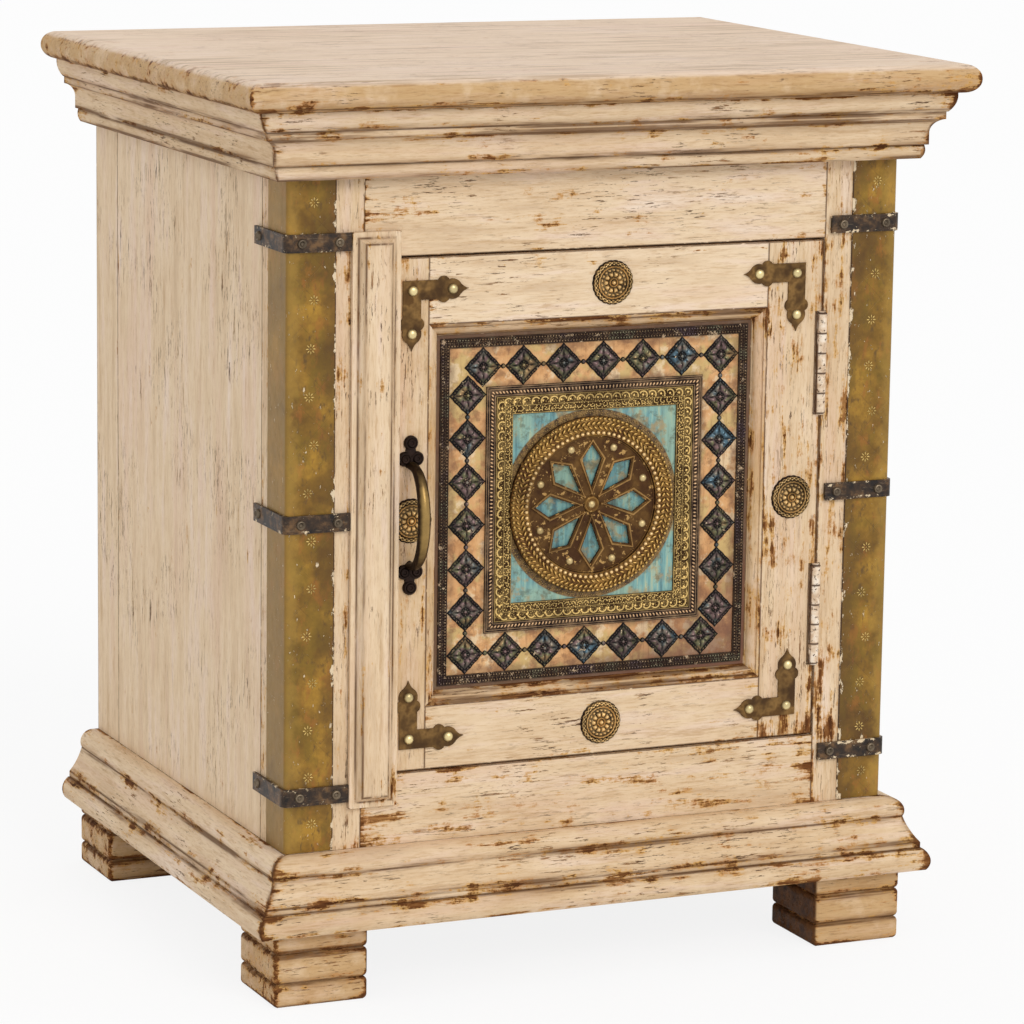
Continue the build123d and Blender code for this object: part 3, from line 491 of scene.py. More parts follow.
# %% Cream paint
def cream_paint(name, low, high, grain, wear, age, edge, levels=(), border_levels=(), shift=0.0,
                mitre=None, inner_side=None, face_age=None):
    """Worn cream paint for a piece between two corners."""
    finish, shader, place = new_finish("cream_paint_" + name)
    moved = stretched(place, (1, 1, 1), (shift, shift * 1.7, shift * 0.6))
    along = stretched(moved, GRAIN_SCALES[grain])
    box = {"Place": place, "Low": low, "High": high}
    arris = put(place.tree, "ShaderNodeGroup", box, node_tree=arris_tree)
    crease, halo = dirt_and_shade_lines(place, low, arris["Border"], levels, border_levels, mitre)
    if face_age is not None:
        on_top = fade(split(place)[2], high.z - 4 * mm, high.z - 1 * mm)
        age = on_top * (face_age - age) + age
    values = {"Place": moved, "Grain": along, "Arris": arris["Arris"], "Crease": crease, "Halo": halo,
              "Wear": worn_ends(place, low, high, grain) + wear, "Edge": edge, "Age": age}
    paint = put(place.tree, "ShaderNodeGroup", values, node_tree=paint_tree)
    colour = paint["Color"]
    if face_age is not None:
        colour = paler_top_face(colour, moved, on_top)
    if inner_side is not None:
        colour = shaded_inside(colour, place, along, inner_side)
    shader["Specular IOR Level"].default_value = 0.15
    coat(shader, colour, paint["Roughness"], paint["Height"], 0.3 * mm)
    return finish


def dress(name, finish):
    """Give a joinery piece its finish."""
    for slot in nodes[name].material_slots:
        slot.material = finish


print("paint sockets:", ", ".join(SOCKETS))

# %% Painted pieces
CORNICE_CREASES = (0.0004, 0.0095, 0.027, 0.032)
BASE_CREASES = (0.015, 0.019, 0.036)
FOOT_CREASES = (0.0008, 0.0143, 0.0163, 0.0343, 0.0363, 0.0492)
STRIP_CREASES = (0.0038, 0.0075)
# name, grain, wear, age, edge wear, creases; a piece's number in the list moves its pattern
PAINTED = [
    ("top_board", "x", 0.025, 1.15, 0.15, (0.0016,)),
    ("cornice_front", "x", 0.02, 0.32, 0.12, CORNICE_CREASES),
    ("cornice_left", "y", 0.01, 0.42, 0.09, CORNICE_CREASES),
    ("cornice_right", "y", 0.01, 0.42, 0.09, CORNICE_CREASES),
    ("post_front_left", "z", 0.055, 0.34, 0.05, ()), ("post_front_right", "z", 0.085, 0.34, 0.05, ()),
    ("post_back_left", "z", 0.0, 0.1, 0.03, ()), ("post_back_right", "z", 0.0, 0.1, 0.03, ()),
    ("side_panel_left", "z", 0.0, 0.03, 0.03, ()), ("side_panel_right", "z", 0.0, 0.03, 0.03, ()),
    ("top_rail", "x", 0.025, 0.16, 0.02, ()), ("bottom_rail", "x", 0.068, 0.32, 0.03, ()),
    ("base_moulding_front", "x", 0.045, 0.46, 0.12, BASE_CREASES),
    ("base_moulding_left", "y", 0.032, 0.15, 0.10, BASE_CREASES),
    ("base_moulding_right", "y", 0.032, 0.22, 0.10, BASE_CREASES),
    ("foot_front_left", "x", 0.045, 1.0, 0.12, FOOT_CREASES),
    ("foot_front_right", "x", 0.05, 1.45, 0.12, FOOT_CREASES),
    ("foot_back_left", "x", 0.04, 0.9, 0.12, FOOT_CREASES),
    ("foot_back_right", "x", 0.045, 1.15, 0.12, FOOT_CREASES),
    ("door_stile_left", "z", 0.045, 0.62, 0.03, ()), ("door_stile_right", "z", 0.078, 0.34, 0.03, ()),
    ("door_rail_top", "x", 0.01, 0.05, 0.03, ()), ("door_rail_bottom", "x", 0.015, 0.32, 0.03, ()),
    ("panel_bead_top", "x", 0.025, 0.6, 0.05, (0.0012, 0.0066)),
    ("panel_bead_bottom", "x", 0.035, 0.6, 0.05, (0.0022, 0.0076)),
    ("panel_bead_left", "z", 0.04, 0.7, 0.05, ()), ("panel_bead_right", "z", 0.06, 0.8, 0.05, ()),
    ("cover_strip", "z", 0.01, 0.12, 0.04, ()),
]
MITRED = {"cornice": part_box("cornice_front"), "base_moulding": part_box("base_moulding_front")}
shift_step = 0.37
for number, (name, grain, wear, age, edge, levels) in enumerate(PAINTED):
    low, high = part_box(name)
    settings = {"levels": levels, "shift": shift_step * number}
    if name == "cover_strip":
        settings["border_levels"] = STRIP_CREASES
    if name == "top_board":
        settings["face_age"] = 0.12
    # The feet's inner sides get painted shade
    if name.startswith("foot"):
        settings["inner_side"] = min(abs(low.x), abs(high.x))
    for family, (front_low, front_high) in MITRED.items():
        if name.startswith(family):
            settings["mitre"] = (front_high.x, front_low.y)
    dress(name, cream_paint(name, low, high, grain, wear, age, edge, **settings))
print("painted pieces:", len(PAINTED))

# %% [markdown]
# ## Painted hinges
#
# The hinges were painted over with the door, thickly enough to blur their knuckles. Each time the door
# opens the paint cracks at the joints between the knuckles, so there the dark metal shows as fine lines.
# The crevice beside the barrel gets a broken line of painted shade. The joints come at an even pitch, so
# they are lines at fixed heights, like the creases of a moulding.

# %% Hinge paint
knuckle_pitch = 13.4 * mm
knuckle_count = 5
barrel_radius = 3.5 * mm


def hinge_paint(low, high):
    """Thick pale paint, cracked at the joints, with painted shade along the barrel's left side."""
    finish, shader, place = new_finish("hinge_paint")
    across, deep, height = split(place)
    tone = noise(place, 170, 4, 0.6)
    colour = ramp(tone, [(0.38, ink(206, 176, 144)), (0.50, ink(230, 206, 178)), (0.62, ink(242, 226, 206))])
    joints = [low.z + number * knuckle_pitch for number in range(knuckle_count + 1)]
    joints += [high.z - number * knuckle_pitch for number in range(knuckle_count + 1)]
    cracks = lines_at(height, joints, 1.2 * mm)
    barrel = (low.x + high.x) / 2
    # Painted shade in the crevice left of the barrel, broken into short lines
    crevice_shade = fade(across, barrel - 0.80 * barrel_radius, barrel - 0.97 * barrel_radius)
    broken = patches(stretched(place, GRAIN_SCALES["z"]), 500, 3, 0.7, 0.34, 0.46)
    chips = patches(place, 380, 4, 0.7, 0.585, 0.62)
    dark = most(chips, cracks, crevice_shade * broken)
    coat(shader, mix(dark, colour, ink(84, 54, 32)), dark * 0.3 + 0.5, tone - dark, 0.3 * mm)
    return finish


painted_hinge = hinge_paint(*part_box("hinge_frame_leaves"))
for name in ("hinge_frame_leaves", "hinge_door_leaves", "hinge_pins"):
    dress(name, painted_hinge)
print("knuckle joints per hinge:", knuckle_count - 1)

# %% [markdown]
# ## Bare wood
#
# The back, the floor board, the shelf and the cleats were left bare: brown wood with long dark growth
# lines and fine pores. Growth lines run almost straight, so the same noise as in the paint is drawn out
# about three times as far.

# %% Bare wood
LONG_GRAIN = {"x": (0.03, 1, 1), "y": (1, 0.03, 1), "z": (1, 1, 0.03)}
INSIDE = {"x": ("back_panel", "floor_board", "shelf"), "y": ("board_cleats",)}


def bare_wood(name, grain, light, dark):
    """Unpainted wood; light and dark are the tones of its growth lines."""
    finish, shader, place = new_finish(name)
    along = stretched(place, LONG_GRAIN[grain])
    between = [(a + 2 * b) / 3 for a, b in zip(dark, light)]
    colour = ramp(noise(along, 170, 6, 0.7), [(0.36, dark), (0.50, between), (0.62, light)])
    fibres = noise(along, 1100, 4, 0.7)
    pores = fade(fibres, 0.52, 0.66)
    coat(shader, mix(pores * 0.55, colour, dark), fibres * 0.2 + 0.55, 1.0 - pores, 0.2 * mm)
    return finish


for grain, names in INSIDE.items():
    inner_wood = bare_wood("bare_wood_" + grain, grain, ink(160, 118, 78), ink(104, 70, 42))
    for name in names:
        dress(name, inner_wood)
print("bare boards:", sum(len(names) for names in INSIDE.values()))

# %% [markdown]
# ## The door panel
#
# The panel's face is stained orange, with a turquoise square painted in its middle, under the medallion.
# That paint was brushed on thinly, so the strokes show. Dirt and painted shadow lie beside the two metal
# borders, and soot in the lower right corner. The square, the dirt and the shadow could be separate thin
# pieces, but they have no thickness that shows, so all of it is one finish that asks how far a point is
# from the panel's middle.
# Only the front face is stained: the back is bare wood.

# %% Measures of the panel
def half_box(name):
    """Half the size of a joinery piece."""
    low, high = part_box(name)
    return (high - low) / 2


gold_low, gold_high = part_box("gold_band")
medallion_low, medallion_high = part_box("medallion")
panel_middle = (gold_low + gold_high) / 2
medallion_radius = half_box("medallion").x
medallion_middle = (medallion_low + medallion_high) / 2
medallion_middle.y = medallion_high.y
border_half = half_box("outer_border")
inner_half = half_box("inner_border")
band_width = 12.0 * mm
band_lap = 1.5 * mm
field_half = half_box("gold_band") - Vector((1, 1, 1)) * (band_width - band_lap)
collar_width = 4.6 * mm
collar_blur = 0.5 * mm
rim_shade = 12 * mm
print("painted square, mm:", round(2 * field_half.x / mm, 1), "x", round(2 * field_half.z / mm, 1))

# %% Stain and turquoise
def orange_stain(place, along):
    """Stained wood with yellowed, creamy and sooty patches and fine dark grain."""
    tone = noise(place, 85, 4, 0.6)
    stain = ramp(tone, [(0.36, ink(184, 130, 78)), (0.50, ink(212, 158, 102)), (0.64, ink(220, 172, 118))])
    stain = veils(stain, place, ((52, 3, 0.6, 0.48, 0.60), 0.75, (198, 172, 108)),
                  ((66, 4, 0.65, 0.53, 0.62), 0.8, (226, 200, 160)),
                  ((110, 5, 0.7, 0.48, 0.64), 0.7, (132, 90, 54)))
    return tone, veils(stain, along, ((420, 3, 0.6, 0.55, 0.75), 0.5, (140, 92, 52)))


def turquoise(place, along, beyond_rim):
    """Thin streaky turquoise with painted shade under the medallion, ringed by old gold paint and painted
    shadow.
    """
    strokes = noise(along, 300, 4, 0.65)
    paint = ramp(strokes, [(0.32, ink(76, 112, 116)), (0.45, ink(104, 150, 152)),
                           (0.56, ink(130, 174, 166)), (0.68, ink(178, 182, 146))])
    paint = veils(paint, place, ((26, 3, 0.55, 0.46, 0.62), 0.5, (160, 182, 150)),
                  ((75, 5, 0.7, 0.50, 0.62), 0.78, (164, 138, 92)),
                  ((140, 4, 0.7, 0.51, 0.64), 0.6, (80, 82, 62)))
    # Painted shade: the turquoise under the medallion, seen through its openings, is darker
    paint = mix(fade(beyond_rim, 0.0, -rim_shade), paint, (0.80, 0.84, 0.84, 1), "MULTIPLY")
    # The collar round the medallion's rim is old gold paint and painted shadow
    collar = fade(beyond_rim, collar_width + collar_blur, collar_width - collar_blur)
    collar = collar * fade(beyond_rim, -rim_shade, mm - rim_shade)
    tone = ramp(noise(place, 260, 4, 0.7), [(0.38, ink(66, 44, 20)), (0.62, ink(150, 116, 64))])
    return strokes, mix(collar, paint, tone)


print("stain and turquoise ready")

# %% Panel finish
def panel_finish():
    """Orange-stained wood with a turquoise square on its front and bare wood on its back."""
    finish, shader, place = new_finish("stained_panel")
    across, deep, high = split(place)
    along = stretched(place, GRAIN_SCALES["z"])
    off_x = abs(across - panel_middle.x)
    off_z = abs(high - panel_middle.z)
    beyond_rim = vector_maths("DISTANCE", place, medallion_middle)["Value"] - medallion_radius
    tone, stain = orange_stain(place, along)
    strokes, paint = turquoise(place, along, beyond_rim)

    beyond_outer = most(off_x - border_half.x, off_z - border_half.z)
    beyond_inner = most(off_x - inner_half.x, off_z - inner_half.z)
    # Dirt and painted shadow: a dark strip just outside the outer border, and patchy bands beside both
    # borders
    stain = mix(fade(beyond_outer, -1.0 * mm, 0.0) * 0.85, stain, ink(74, 46, 28))
    beside = most(fade(beyond_outer, -13.0 * mm, -9.0 * mm), fade(beyond_inner, 4.5 * mm, 0.5 * mm))
    beside = beside * patches(place, 90, 4, 0.7, 0.30, 0.58)
    stain = mix(beside * 0.5, stain, ink(104, 68, 42))
    to_corner = (across - panel_middle.x) * 0.6 - (high - panel_middle.z)
    smoky = fade(to_corner, 85 * mm, 150 * mm) * patches(place, 60, 4, 0.7, 0.30, 0.50)
    stain = mix(smoky * 0.75, stain, ink(116, 72, 50))

    inside = fade(off_x, field_half.x + 0.6 * mm, field_half.x) * fade(off_z, field_half.z + 0.6 * mm,
                                                                       field_half.z)
    on_face = fade(deep, panel_middle.y + 1.6 * mm, panel_middle.y + 0.8 * mm)
    bands = noise(stretched(place, LONG_GRAIN["z"]), 170, 6, 0.7)
    back = ramp(bands, [(0.36, ink(116, 78, 46)), (0.62, ink(174, 130, 86))])
    coat(shader, mix(on_face, back, mix(inside, stain, paint)), tone * 0.2 + 0.45, strokes, 0.3 * mm)
    return finish


dress("door_panel", panel_finish())
print("panel finish nodes:", len(nodes["door_panel"].material_slots[0].material.node_tree.nodes))

# %% [markdown]
# ## Old metal
#
# Old brass and iron are never one colour. High spots are rubbed bright by hands, hollows keep a dark
# skin of oxide and dirt, and in between the metal is mottled. All the trim lies flat on the door, so a
# point's height over the panel says how rubbed it is, and the same height also paints highlights on the
# high spots and shade in the hollows. One group takes that height, from 0 in the hollows to 1 on the high
# spots, and two colours. Metal that was heated or has lain damp also changes its hue from place to
# place, which a row of tints gives.

# %% Old metal group
SOCKETS = {"Place": "Vector", "Rubbed and lit": "Float", "Hollow": "Color", "High": "Color"}
metal_tree, entry, leave = group("old metal", SOCKETS,
                                 {"Color": "Color", "Roughness": "Float", "Height": "Float"})
mottle = noise(entry["Place"], 130, 4, 0.65)
rubbed = maths("ADD", entry["Rubbed and lit"], (mottle - 0.5) * 0.9, use_clamp=True)
metal = mix(rubbed, entry["Hollow"], entry["High"])
clouded = patches(entry["Place"], 28, 3, 0.6, 0.46, 0.66) * 0.4
fill(leave["Color"], mix(clouded, metal, entry["Hollow"]))
fill(leave["Roughness"], 0.62 - rubbed * 0.28)
fill(leave["Height"], mottle)
print("metal group nodes:", len(metal_tree.nodes))


# %% Old metal finish
def old_metal(name, hollow, high, rubbed=0.5, lift=None, spots=None, tints=None, depth=0.12 * mm):
    """An old metal. lift is (y, rise): the plane it stands on and the height of its high spots.

    The lift sets wear and also paints highlights on high spots and shade in hollows.
    """
    finish, shader, place = new_finish(name, 0.75)
    if lift is not None:
        level, rise = lift
        values = {"Value": split(place)[1], "From Min": level, "From Max": level - rise}
        rubbed = put(place.tree, "ShaderNodeMapRange", values)
    if tints is not None:
        high = ramp(noise(place, 58, 3, 0.6), tints)
    values = {"Place": place, "Rubbed and lit": rubbed, "Hollow": hollow, "High": high}
    metal = put(place.tree, "ShaderNodeGroup", values, node_tree=metal_tree)
    colour = metal["Color"]
    if spots is not None:
        spot_colour, threshold = spots
        colour = mix(patches(place, 210, 5, 0.7, threshold, threshold + 0.03), colour, spot_colour)
    coat(shader, colour, metal["Roughness"], metal["Height"], depth)
    return finish


panel_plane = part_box("panel_diamonds")[1].y
trim_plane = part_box("panel_diamonds")[0].y
door_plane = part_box("door_stile_left")[0].y
bracket_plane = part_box("bracket_top_left")[0].y
rim_plane = medallion_low.y
print("panel face at y", round(panel_plane, 4), "trim face at y", round(trim_plane, 4))

# %% Tints
HEAT_TINTS = [(0.36, ink(92, 120, 134)), (0.44, ink(136, 128, 112)), (0.50, ink(134, 104, 104)),
              (0.56, ink(124, 124, 90)), (0.64, ink(172, 140, 98))]
BORDER_TINTS = [(0.38, ink(116, 98, 104)), (0.46, ink(178, 150, 116)), (0.54, ink(140, 108, 78)),
                (0.62, ink(150, 144, 116))]
MEDALLION_TINTS = [(0.38, ink(104, 68, 34)), (0.50, ink(134, 98, 46)), (0.62, ink(164, 122, 62))]
BRONZE_TINTS = [(0.38, ink(88, 62, 32)), (0.46, ink(122, 90, 48)), (0.54, ink(168, 128, 72)),
                (0.62, ink(116, 82, 40))]
print("tints of heated metal:", len(HEAT_TINTS), "of bronze:", len(BRONZE_TINTS))

# %% Metals of the fittings
nail_iron = old_metal("nail_iron", ink(36, 28, 24), ink(158, 140, 116))
bronze = old_metal("dark_bronze", ink(58, 38, 20), ink(124, 94, 54), 0.52, tints=BRONZE_TINTS,
                   depth=0.2 * mm)
pale_brass = old_metal("pale_brass", ink(140, 112, 64), ink(226, 202, 148), 0.7)
# dome_brass paints a highlight on each dome's top and shade round its rim
dome_brass = old_metal("dome_brass", ink(86, 60, 28), ink(232, 212, 156),
                       lift=(bracket_plane + 0.3 * mm, 2.5 * mm))
plate_metal = old_metal("pull_plate_metal", ink(20, 12, 9), ink(62, 39, 27), 0.32)
steel = old_metal("plain_steel", ink(120, 118, 114), ink(170, 168, 162), 0.6)
# rosette_brass: its lift paints highlights on the relief's high spots and shade in its hollows, with wear
rosette_brass = old_metal("rosette_brass", ink(32, 17, 6), ink(238, 198, 134),
                          lift=(door_plane - 1.05 * mm, 1.25 * mm))
print("bracket face at y", round(bracket_plane, 4), "door face at y", round(door_plane, 4))

# %% Metals of the trim
# Each lift here gives wear, and also painted highlights on high spots and painted shade in hollows
medallion_brass = old_metal("medallion_brass", ink(62, 36, 16), ink(188, 140, 84),
                            lift=(trim_plane - 1.1 * mm, 2.3 * mm), spots=(ink(184, 146, 88), 0.58),
                            tints=MEDALLION_TINTS, depth=0.3 * mm)
rope_brass = old_metal("rope_brass", ink(46, 25, 4), ink(230, 186, 106),
                       lift=(rim_plane - 0.25 * mm, 1.6 * mm))
# A paler copy of the rope brass: a painted highlight on the large beads
highlit_bead_brass = old_metal("highlit_bead_brass", ink(60, 34, 12), ink(238, 202, 142),
                       lift=(rim_plane - 0.1 * mm, 1.6 * mm))
lip_brass = old_metal("lip_brass", ink(66, 40, 18), ink(196, 152, 90), 0.52)
collar_gold = old_metal("collar_gold", ink(78, 52, 22), ink(206, 174, 112), 0.6)
gold = old_metal("gold_brass", ink(60, 38, 12), ink(238, 202, 128),
                 lift=(trim_plane + 0.05 * mm, 0.75 * mm))
oxide = old_metal("heat_tinted_metal", ink(20, 16, 16), ink(140, 130, 120),
                  lift=(panel_plane - 0.65 * mm, 1.0 * mm), spots=(ink(190, 168, 138), 0.64),
                  tints=HEAT_TINTS)
border_metal = old_metal("border_metal", ink(44, 29, 22), ink(190, 164, 136),
                         lift=(trim_plane - 0.1 * mm, 0.85 * mm), spots=(ink(192, 168, 138), 0.61),
                         tints=BORDER_TINTS)
inner_metal = old_metal("inner_border_metal", ink(34, 21, 18), ink(222, 182, 138),
                        lift=(trim_plane + 0.05 * mm, 0.8 * mm), spots=(ink(188, 158, 126), 0.66))
print("finishes so far:", len(bpy.data.materials))

# %% Metal pieces of the joinery
BRACKETS = ["bracket_" + corner for corner in ("top_left", "top_right", "bottom_left", "bottom_right")]
METAL_PIECES = [(plate_metal, ["pull", "pull_screws", "catch_magnet"]), (bronze, BRACKETS),
                (pale_brass, ["bracket_nails", "medallion_nails"]), (medallion_brass, ["medallion"]),
                (gold, ["gold_band"]), (border_metal, ["outer_border"]), (inner_metal, ["inner_border"]),
                (oxide, ["panel_diamonds"]), (rosette_brass, ["rosettes"]), (nail_iron, ["strap_nails"]),
                (steel, ["frame_hinge_screws", "door_hinge_screws", "strike_plate"])]
for finish, names in METAL_PIECES:
    for name in names:
        dress(name, finish)
for name in BRACKETS:
    nodes[name].modifiers.new("weld", "WELD").merge_threshold = 1e-5
    soften = nodes[name].modifiers.new("softened edges", "BEVEL")
    soften.width = 0.4 * mm
    soften.segments = 3
    soften.limit_method = "ANGLE"
    soften.angle_limit = math.radians(50)
print("metal pieces of the joinery:", sum(len(names) for finish, names in METAL_PIECES))

# %% [markdown]
# ## Sheet brass on the corners
#
# The front corners are wrapped in thin brass sheet, scored with a faint diamond lattice and punched with
# little stars. It is rubbed bright at the fold and browned at its free edge, and cream paint was slopped
# over that edge and round the straps. Its side face gets painted shade, and its free edge a thin dark
# line that is partly painted shadow. The lattice is scored so lightly that it is only a line in the
# finish; the two diagonals are worked out from the distance round the corner and the height.

# %% Scored lattice and mottled brass
lattice_pitch = 26 * mm
score_width = 0.5 * mm
strap_reach = 12 * mm
sheet_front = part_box("brass_corner_left")[0].y


def scored(diagonal):
    """1 on scored lines that come once in every lattice pitch."""
    return fade(abs(maths("WRAP", diagonal, lattice_pitch, 0.0) - lattice_pitch / 2), score_width, 0.0)


def old_sheet(place, drawn, tone, speckle):
    """Mottled brass with olive, dark and coppery patches."""
    colour = ramp(tone, [(0.34, ink(92, 62, 20)), (0.44, ink(116, 84, 26)),
                         (0.54, ink(140, 103, 34)), (0.64, ink(170, 128, 44))])
    colour = veils(colour, drawn, ((64, 4, 0.65, 0.48, 0.60), 0.5, (120, 96, 28)))
    colour = mix(fade(speckle, 0.52, 0.72), colour, ink(100, 74, 36))
    return veils(colour, drawn, ((100, 5, 0.7, 0.53, 0.64), 0.45, (160, 98, 42)))


print("lattice pitch, mm:", round(lattice_pitch / mm, 1))


# %% Brass sheet finish
def sheet_finish(name, free_edge, strap_levels):
    """Aged brass sheet with paint slopped over its free edge and round the straps."""
    finish, shader, place = new_finish(name)
    across, deep, high = split(place)
    drawn = stretched(place, (1, 1, 0.5))
    tone = noise(place, 24, 5, 0.65)
    speckle = noise(drawn, 260, 4, 0.7)
    round_corner = abs(across) - deep
    lines = most(scored(round_corner + high), scored(round_corner - high))
    lines = lines * (patches(place, 34, 3, 0.55, 0.42, 0.58) * 0.26)
    colour = mix(lines, old_sheet(place, drawn, tone, speckle), ink(84, 60, 28))
    # Painted shade: the side face is darker and browner than the front
    shaded_side = fade(deep, sheet_front + 0.4 * mm, sheet_front + 1.4 * mm)
    colour = mix(shaded_side, colour, (0.72, 0.62, 0.44, 1), "MULTIPLY")

    edge = abs(abs(across) - free_edge)
    uneven = edge + (tone - 0.5) * 0.03
    colour = mix(fade(uneven, 16 * mm, 2 * mm) * 0.5, colour, ink(92, 64, 26))
    colour = mix(fade(uneven, 21 * mm, 30 * mm) * 0.45, colour, ink(172, 136, 62))
    # A thin dark line at the free edge: the sheet's dark edge with painted shadow
    colour = mix(fade(edge, 1.1 * mm, 0.3 * mm), colour, ink(70, 44, 20))

    near = most(fade(edge, 5 * mm, 0.0) * 0.15, lines_at(high, strap_levels, strap_reach) * 0.17)
    slop = noise(drawn, 170, 6, 0.72) + near
    paint = most(fade(slop, 0.675, 0.70), patches(drawn, 420, 4, 0.7, 0.665, 0.69))
    colour = mix(paint, colour, ink(222, 200, 166))
    fill(shader["Metallic"], (1.0 - paint) * 0.45)
    coat(shader, colour, speckle * 0.3 + 0.32, (tone + paint) - lines, 0.4 * mm)
    return finish


print("sheet face at y", round(sheet_front, 4))

# %% [markdown]
# ## Iron straps
#
# Three flat iron straps are folded over each brass corner. The iron is black with rusty patches and fine
# level scratches, and keeps a crust of cream paint along its long edges, more of it on the right side,
# where less of it was wiped off. The crust follows the straps' middle heights.

# %% Strap finish
strap_half = 5.0 * mm
CRUST = {"left": 0.07, "right": 0.12}


def strap_finish(name, levels, crust):
    """Black iron with scratches, and a crust of cream paint along its long edges."""
    finish, shader, place = new_finish(name, 0.35)
    mottled = noise(place, 120, 5, 0.7)
    colour = ramp(mottled, [(0.36, ink(24, 16, 11)), (0.50, ink(60, 42, 26)), (0.64, ink(112, 82, 50))])
    scratches = patches(stretched(place, (0.15, 0.15, 1)), 900, 3, 0.6, 0.60, 0.68)
    colour = mix(scratches * 0.35, colour, ink(132, 112, 88))
    inward = lines_at(split(place)[2], levels, strap_half)
    rim = fade(inward, 0.35, 0.0) * crust
    paint = fade(noise(place, 150, 6, 0.75) + rim, 0.65, 0.68)
    colour = mix(paint, colour, ink(220, 198, 164))
    coat(shader, colour, 0.5 - scratches * 0.15, mottled + paint, 0.3 * mm)
    return finish


print("paint crust, left and right:", list(CRUST.values()))

# %% [markdown]
# ## Mesh helpers
#
# Domes, discs and bars are all a skin over a row of rings: a ring of points, the next ring, and so on,
# closed at both ends by a single point. One helper makes that skin. A disc whose height is a formula of
# the distance and the angle from its middle gives stamped flowers and ropes with real relief.

# %% Skin and turning
def skin(name, rings):
    """A closed skin over rings of points; the first and last ring may be a single point."""
    points = [point for ring in rings for point in ring]
    faces = []
    start = 0
    for first, second in zip(rings, rings[1:]):
        after = start + len(first)
        count = max(len(first), len(second))
        for step in range(count):
            following = (step + 1) % count
            face = [start + step % len(first), after + step % len(second),
                    after + following % len(second), start + following % len(first)]
            faces.append(list(dict.fromkeys(face)))
        start = after
    mesh = bpy.data.meshes.new(name)
    mesh.from_pydata(points, [], faces)
    shell = bmesh.new()
    shell.from_mesh(mesh)
    bmesh.ops.recalc_face_normals(shell, faces=shell.faces)
    shell.to_mesh(mesh)
    shell.free()
    return mesh


def circle(radius, height, steps):
    """A level ring of points."""
    turns = [2 * math.pi * step / steps for step in range(steps)]
    return [(radius * math.cos(turn), radius * math.sin(turn), height) for turn in turns]


def turned(name, profile, steps):
    """A turned shape from (radius, height) pairs, from its top middle out and down to its underside."""
    return skin(name, [circle(radius, height, steps if radius else 1) for radius, height in profile])


print("points in a ring of 12:", len(circle(1, 0, 12)))

# %% Stamping and bending
def stamped(name, reach, relief, rings, steps):
    """A stamped plate: reach(angle) is its outline and relief(share, angle) its height."""
    layers = [[(0, 0, relief(0, 0))]]
    turns = [2 * math.pi * step / steps for step in range(steps)]
    for share in [ring / rings for ring in range(1, rings + 1)]:
        layers.append([(share * reach(turn) * math.cos(turn), share * reach(turn) * math.sin(turn),
                        relief(share, turn)) for turn in turns])
    layers.append([(reach(turn) * math.cos(turn), reach(turn) * math.sin(turn), 0) for turn in turns])
    layers.append([(0, 0, 0)])
    return skin(name, layers)


def hump(value, low, high):
    """A round hump between low and high, 1 at its middle."""
    share = (value - low) / (high - low)
    return math.sin(math.pi * share) if 0 < share < 1 else 0.0


def bent_wire(name, points, radius, cyclic=True):
    """A round wire through points."""
    curve = bpy.data.curves.new(name, "CURVE")
    curve.dimensions = "3D"
    curve.bevel_depth = radius
    curve.bevel_resolution = 1
    spline = curve.splines.new("POLY")
    spline.points.add(len(points) - 1)
    for knot, point in zip(spline.points, points):
        knot.co = (*point, 1)
    spline.use_cyclic_u = cyclic
    curve.use_fill_caps = not cyclic
    holder = bpy.data.objects.new(name, curve)
    mesh = bpy.data.meshes.new_from_object(holder)
    bpy.data.objects.remove(holder)
    return mesh


def bead(name, length, width, height, turn=0.0, steps=8):
    """Half of an egg on a flat base, turned about its upright axis."""
    cut = turned(name, [(0, 1), (0.55, 0.84), (0.92, 0.42), (1.0, -0.15), (0, -0.15)], steps)
    cut.transform(Matrix.Rotation(turn, 4, "Z") @ Matrix.Diagonal((length / 2, width / 2, height, 1)))
    return cut


print("a hump at its middle:", hump(0.5, 0, 1))

# %% [markdown]
# ## Repeating metalwork with geometry nodes
#
# Beads, rope strokes, arches, nails and diamonds come in rows, rings and fields, and each would be
# tedious and heavy to place one at a time. Three small trees do it all: one sets copies along a path,
# one sets them on marked places, and one scatters them over a plate. A tree's result is then kept as a
# plain mesh, so nothing stays live.

# %% Trees for rows, places and fields
def repeat_tree(name, extra):
    """A geometry tree with an item, its metal and more named inputs."""
    inputs = {"Geometry": "Geometry", "Item": "Object", "Finish": "Material", **extra}
    tree, entry, leave = group(name, inputs, {"Geometry": "Geometry"}, "GeometryNodeTree")
    item = put(tree, "GeometryNodeObjectInfo", {"Object": entry["Item"]})["Geometry"]
    return tree, entry, leave, item


def set_down(tree, entry, leave, item, points, turn):
    """Copies of the item on points, made real and given their metal."""
    copies = put(tree, "GeometryNodeInstanceOnPoints", {"Points": points, "Instance": item, "Rotation": turn})
    real = put(tree, "GeometryNodeRealizeInstances", {"Geometry": copies})
    finished = put(tree, "GeometryNodeSetMaterial", {"Geometry": real, "Material": entry["Finish"]})
    fill(leave["Geometry"], finished)


row_tree, entry, leave, item = repeat_tree("row along a path", {"Count": "Int"})
path = put(row_tree, "GeometryNodeMeshToCurve", {"Mesh": entry["Geometry"]})
stops = put(row_tree, "GeometryNodeCurveToPoints", {"Curve": path, "Count": entry["Count"]}, mode="COUNT")
facing = put(row_tree, "FunctionNodeAlignRotationToVector", {"Vector": stops["Tangent"]},
             axis="X", pivot_axis="Z")
set_down(row_tree, entry, leave, item, stops, facing)

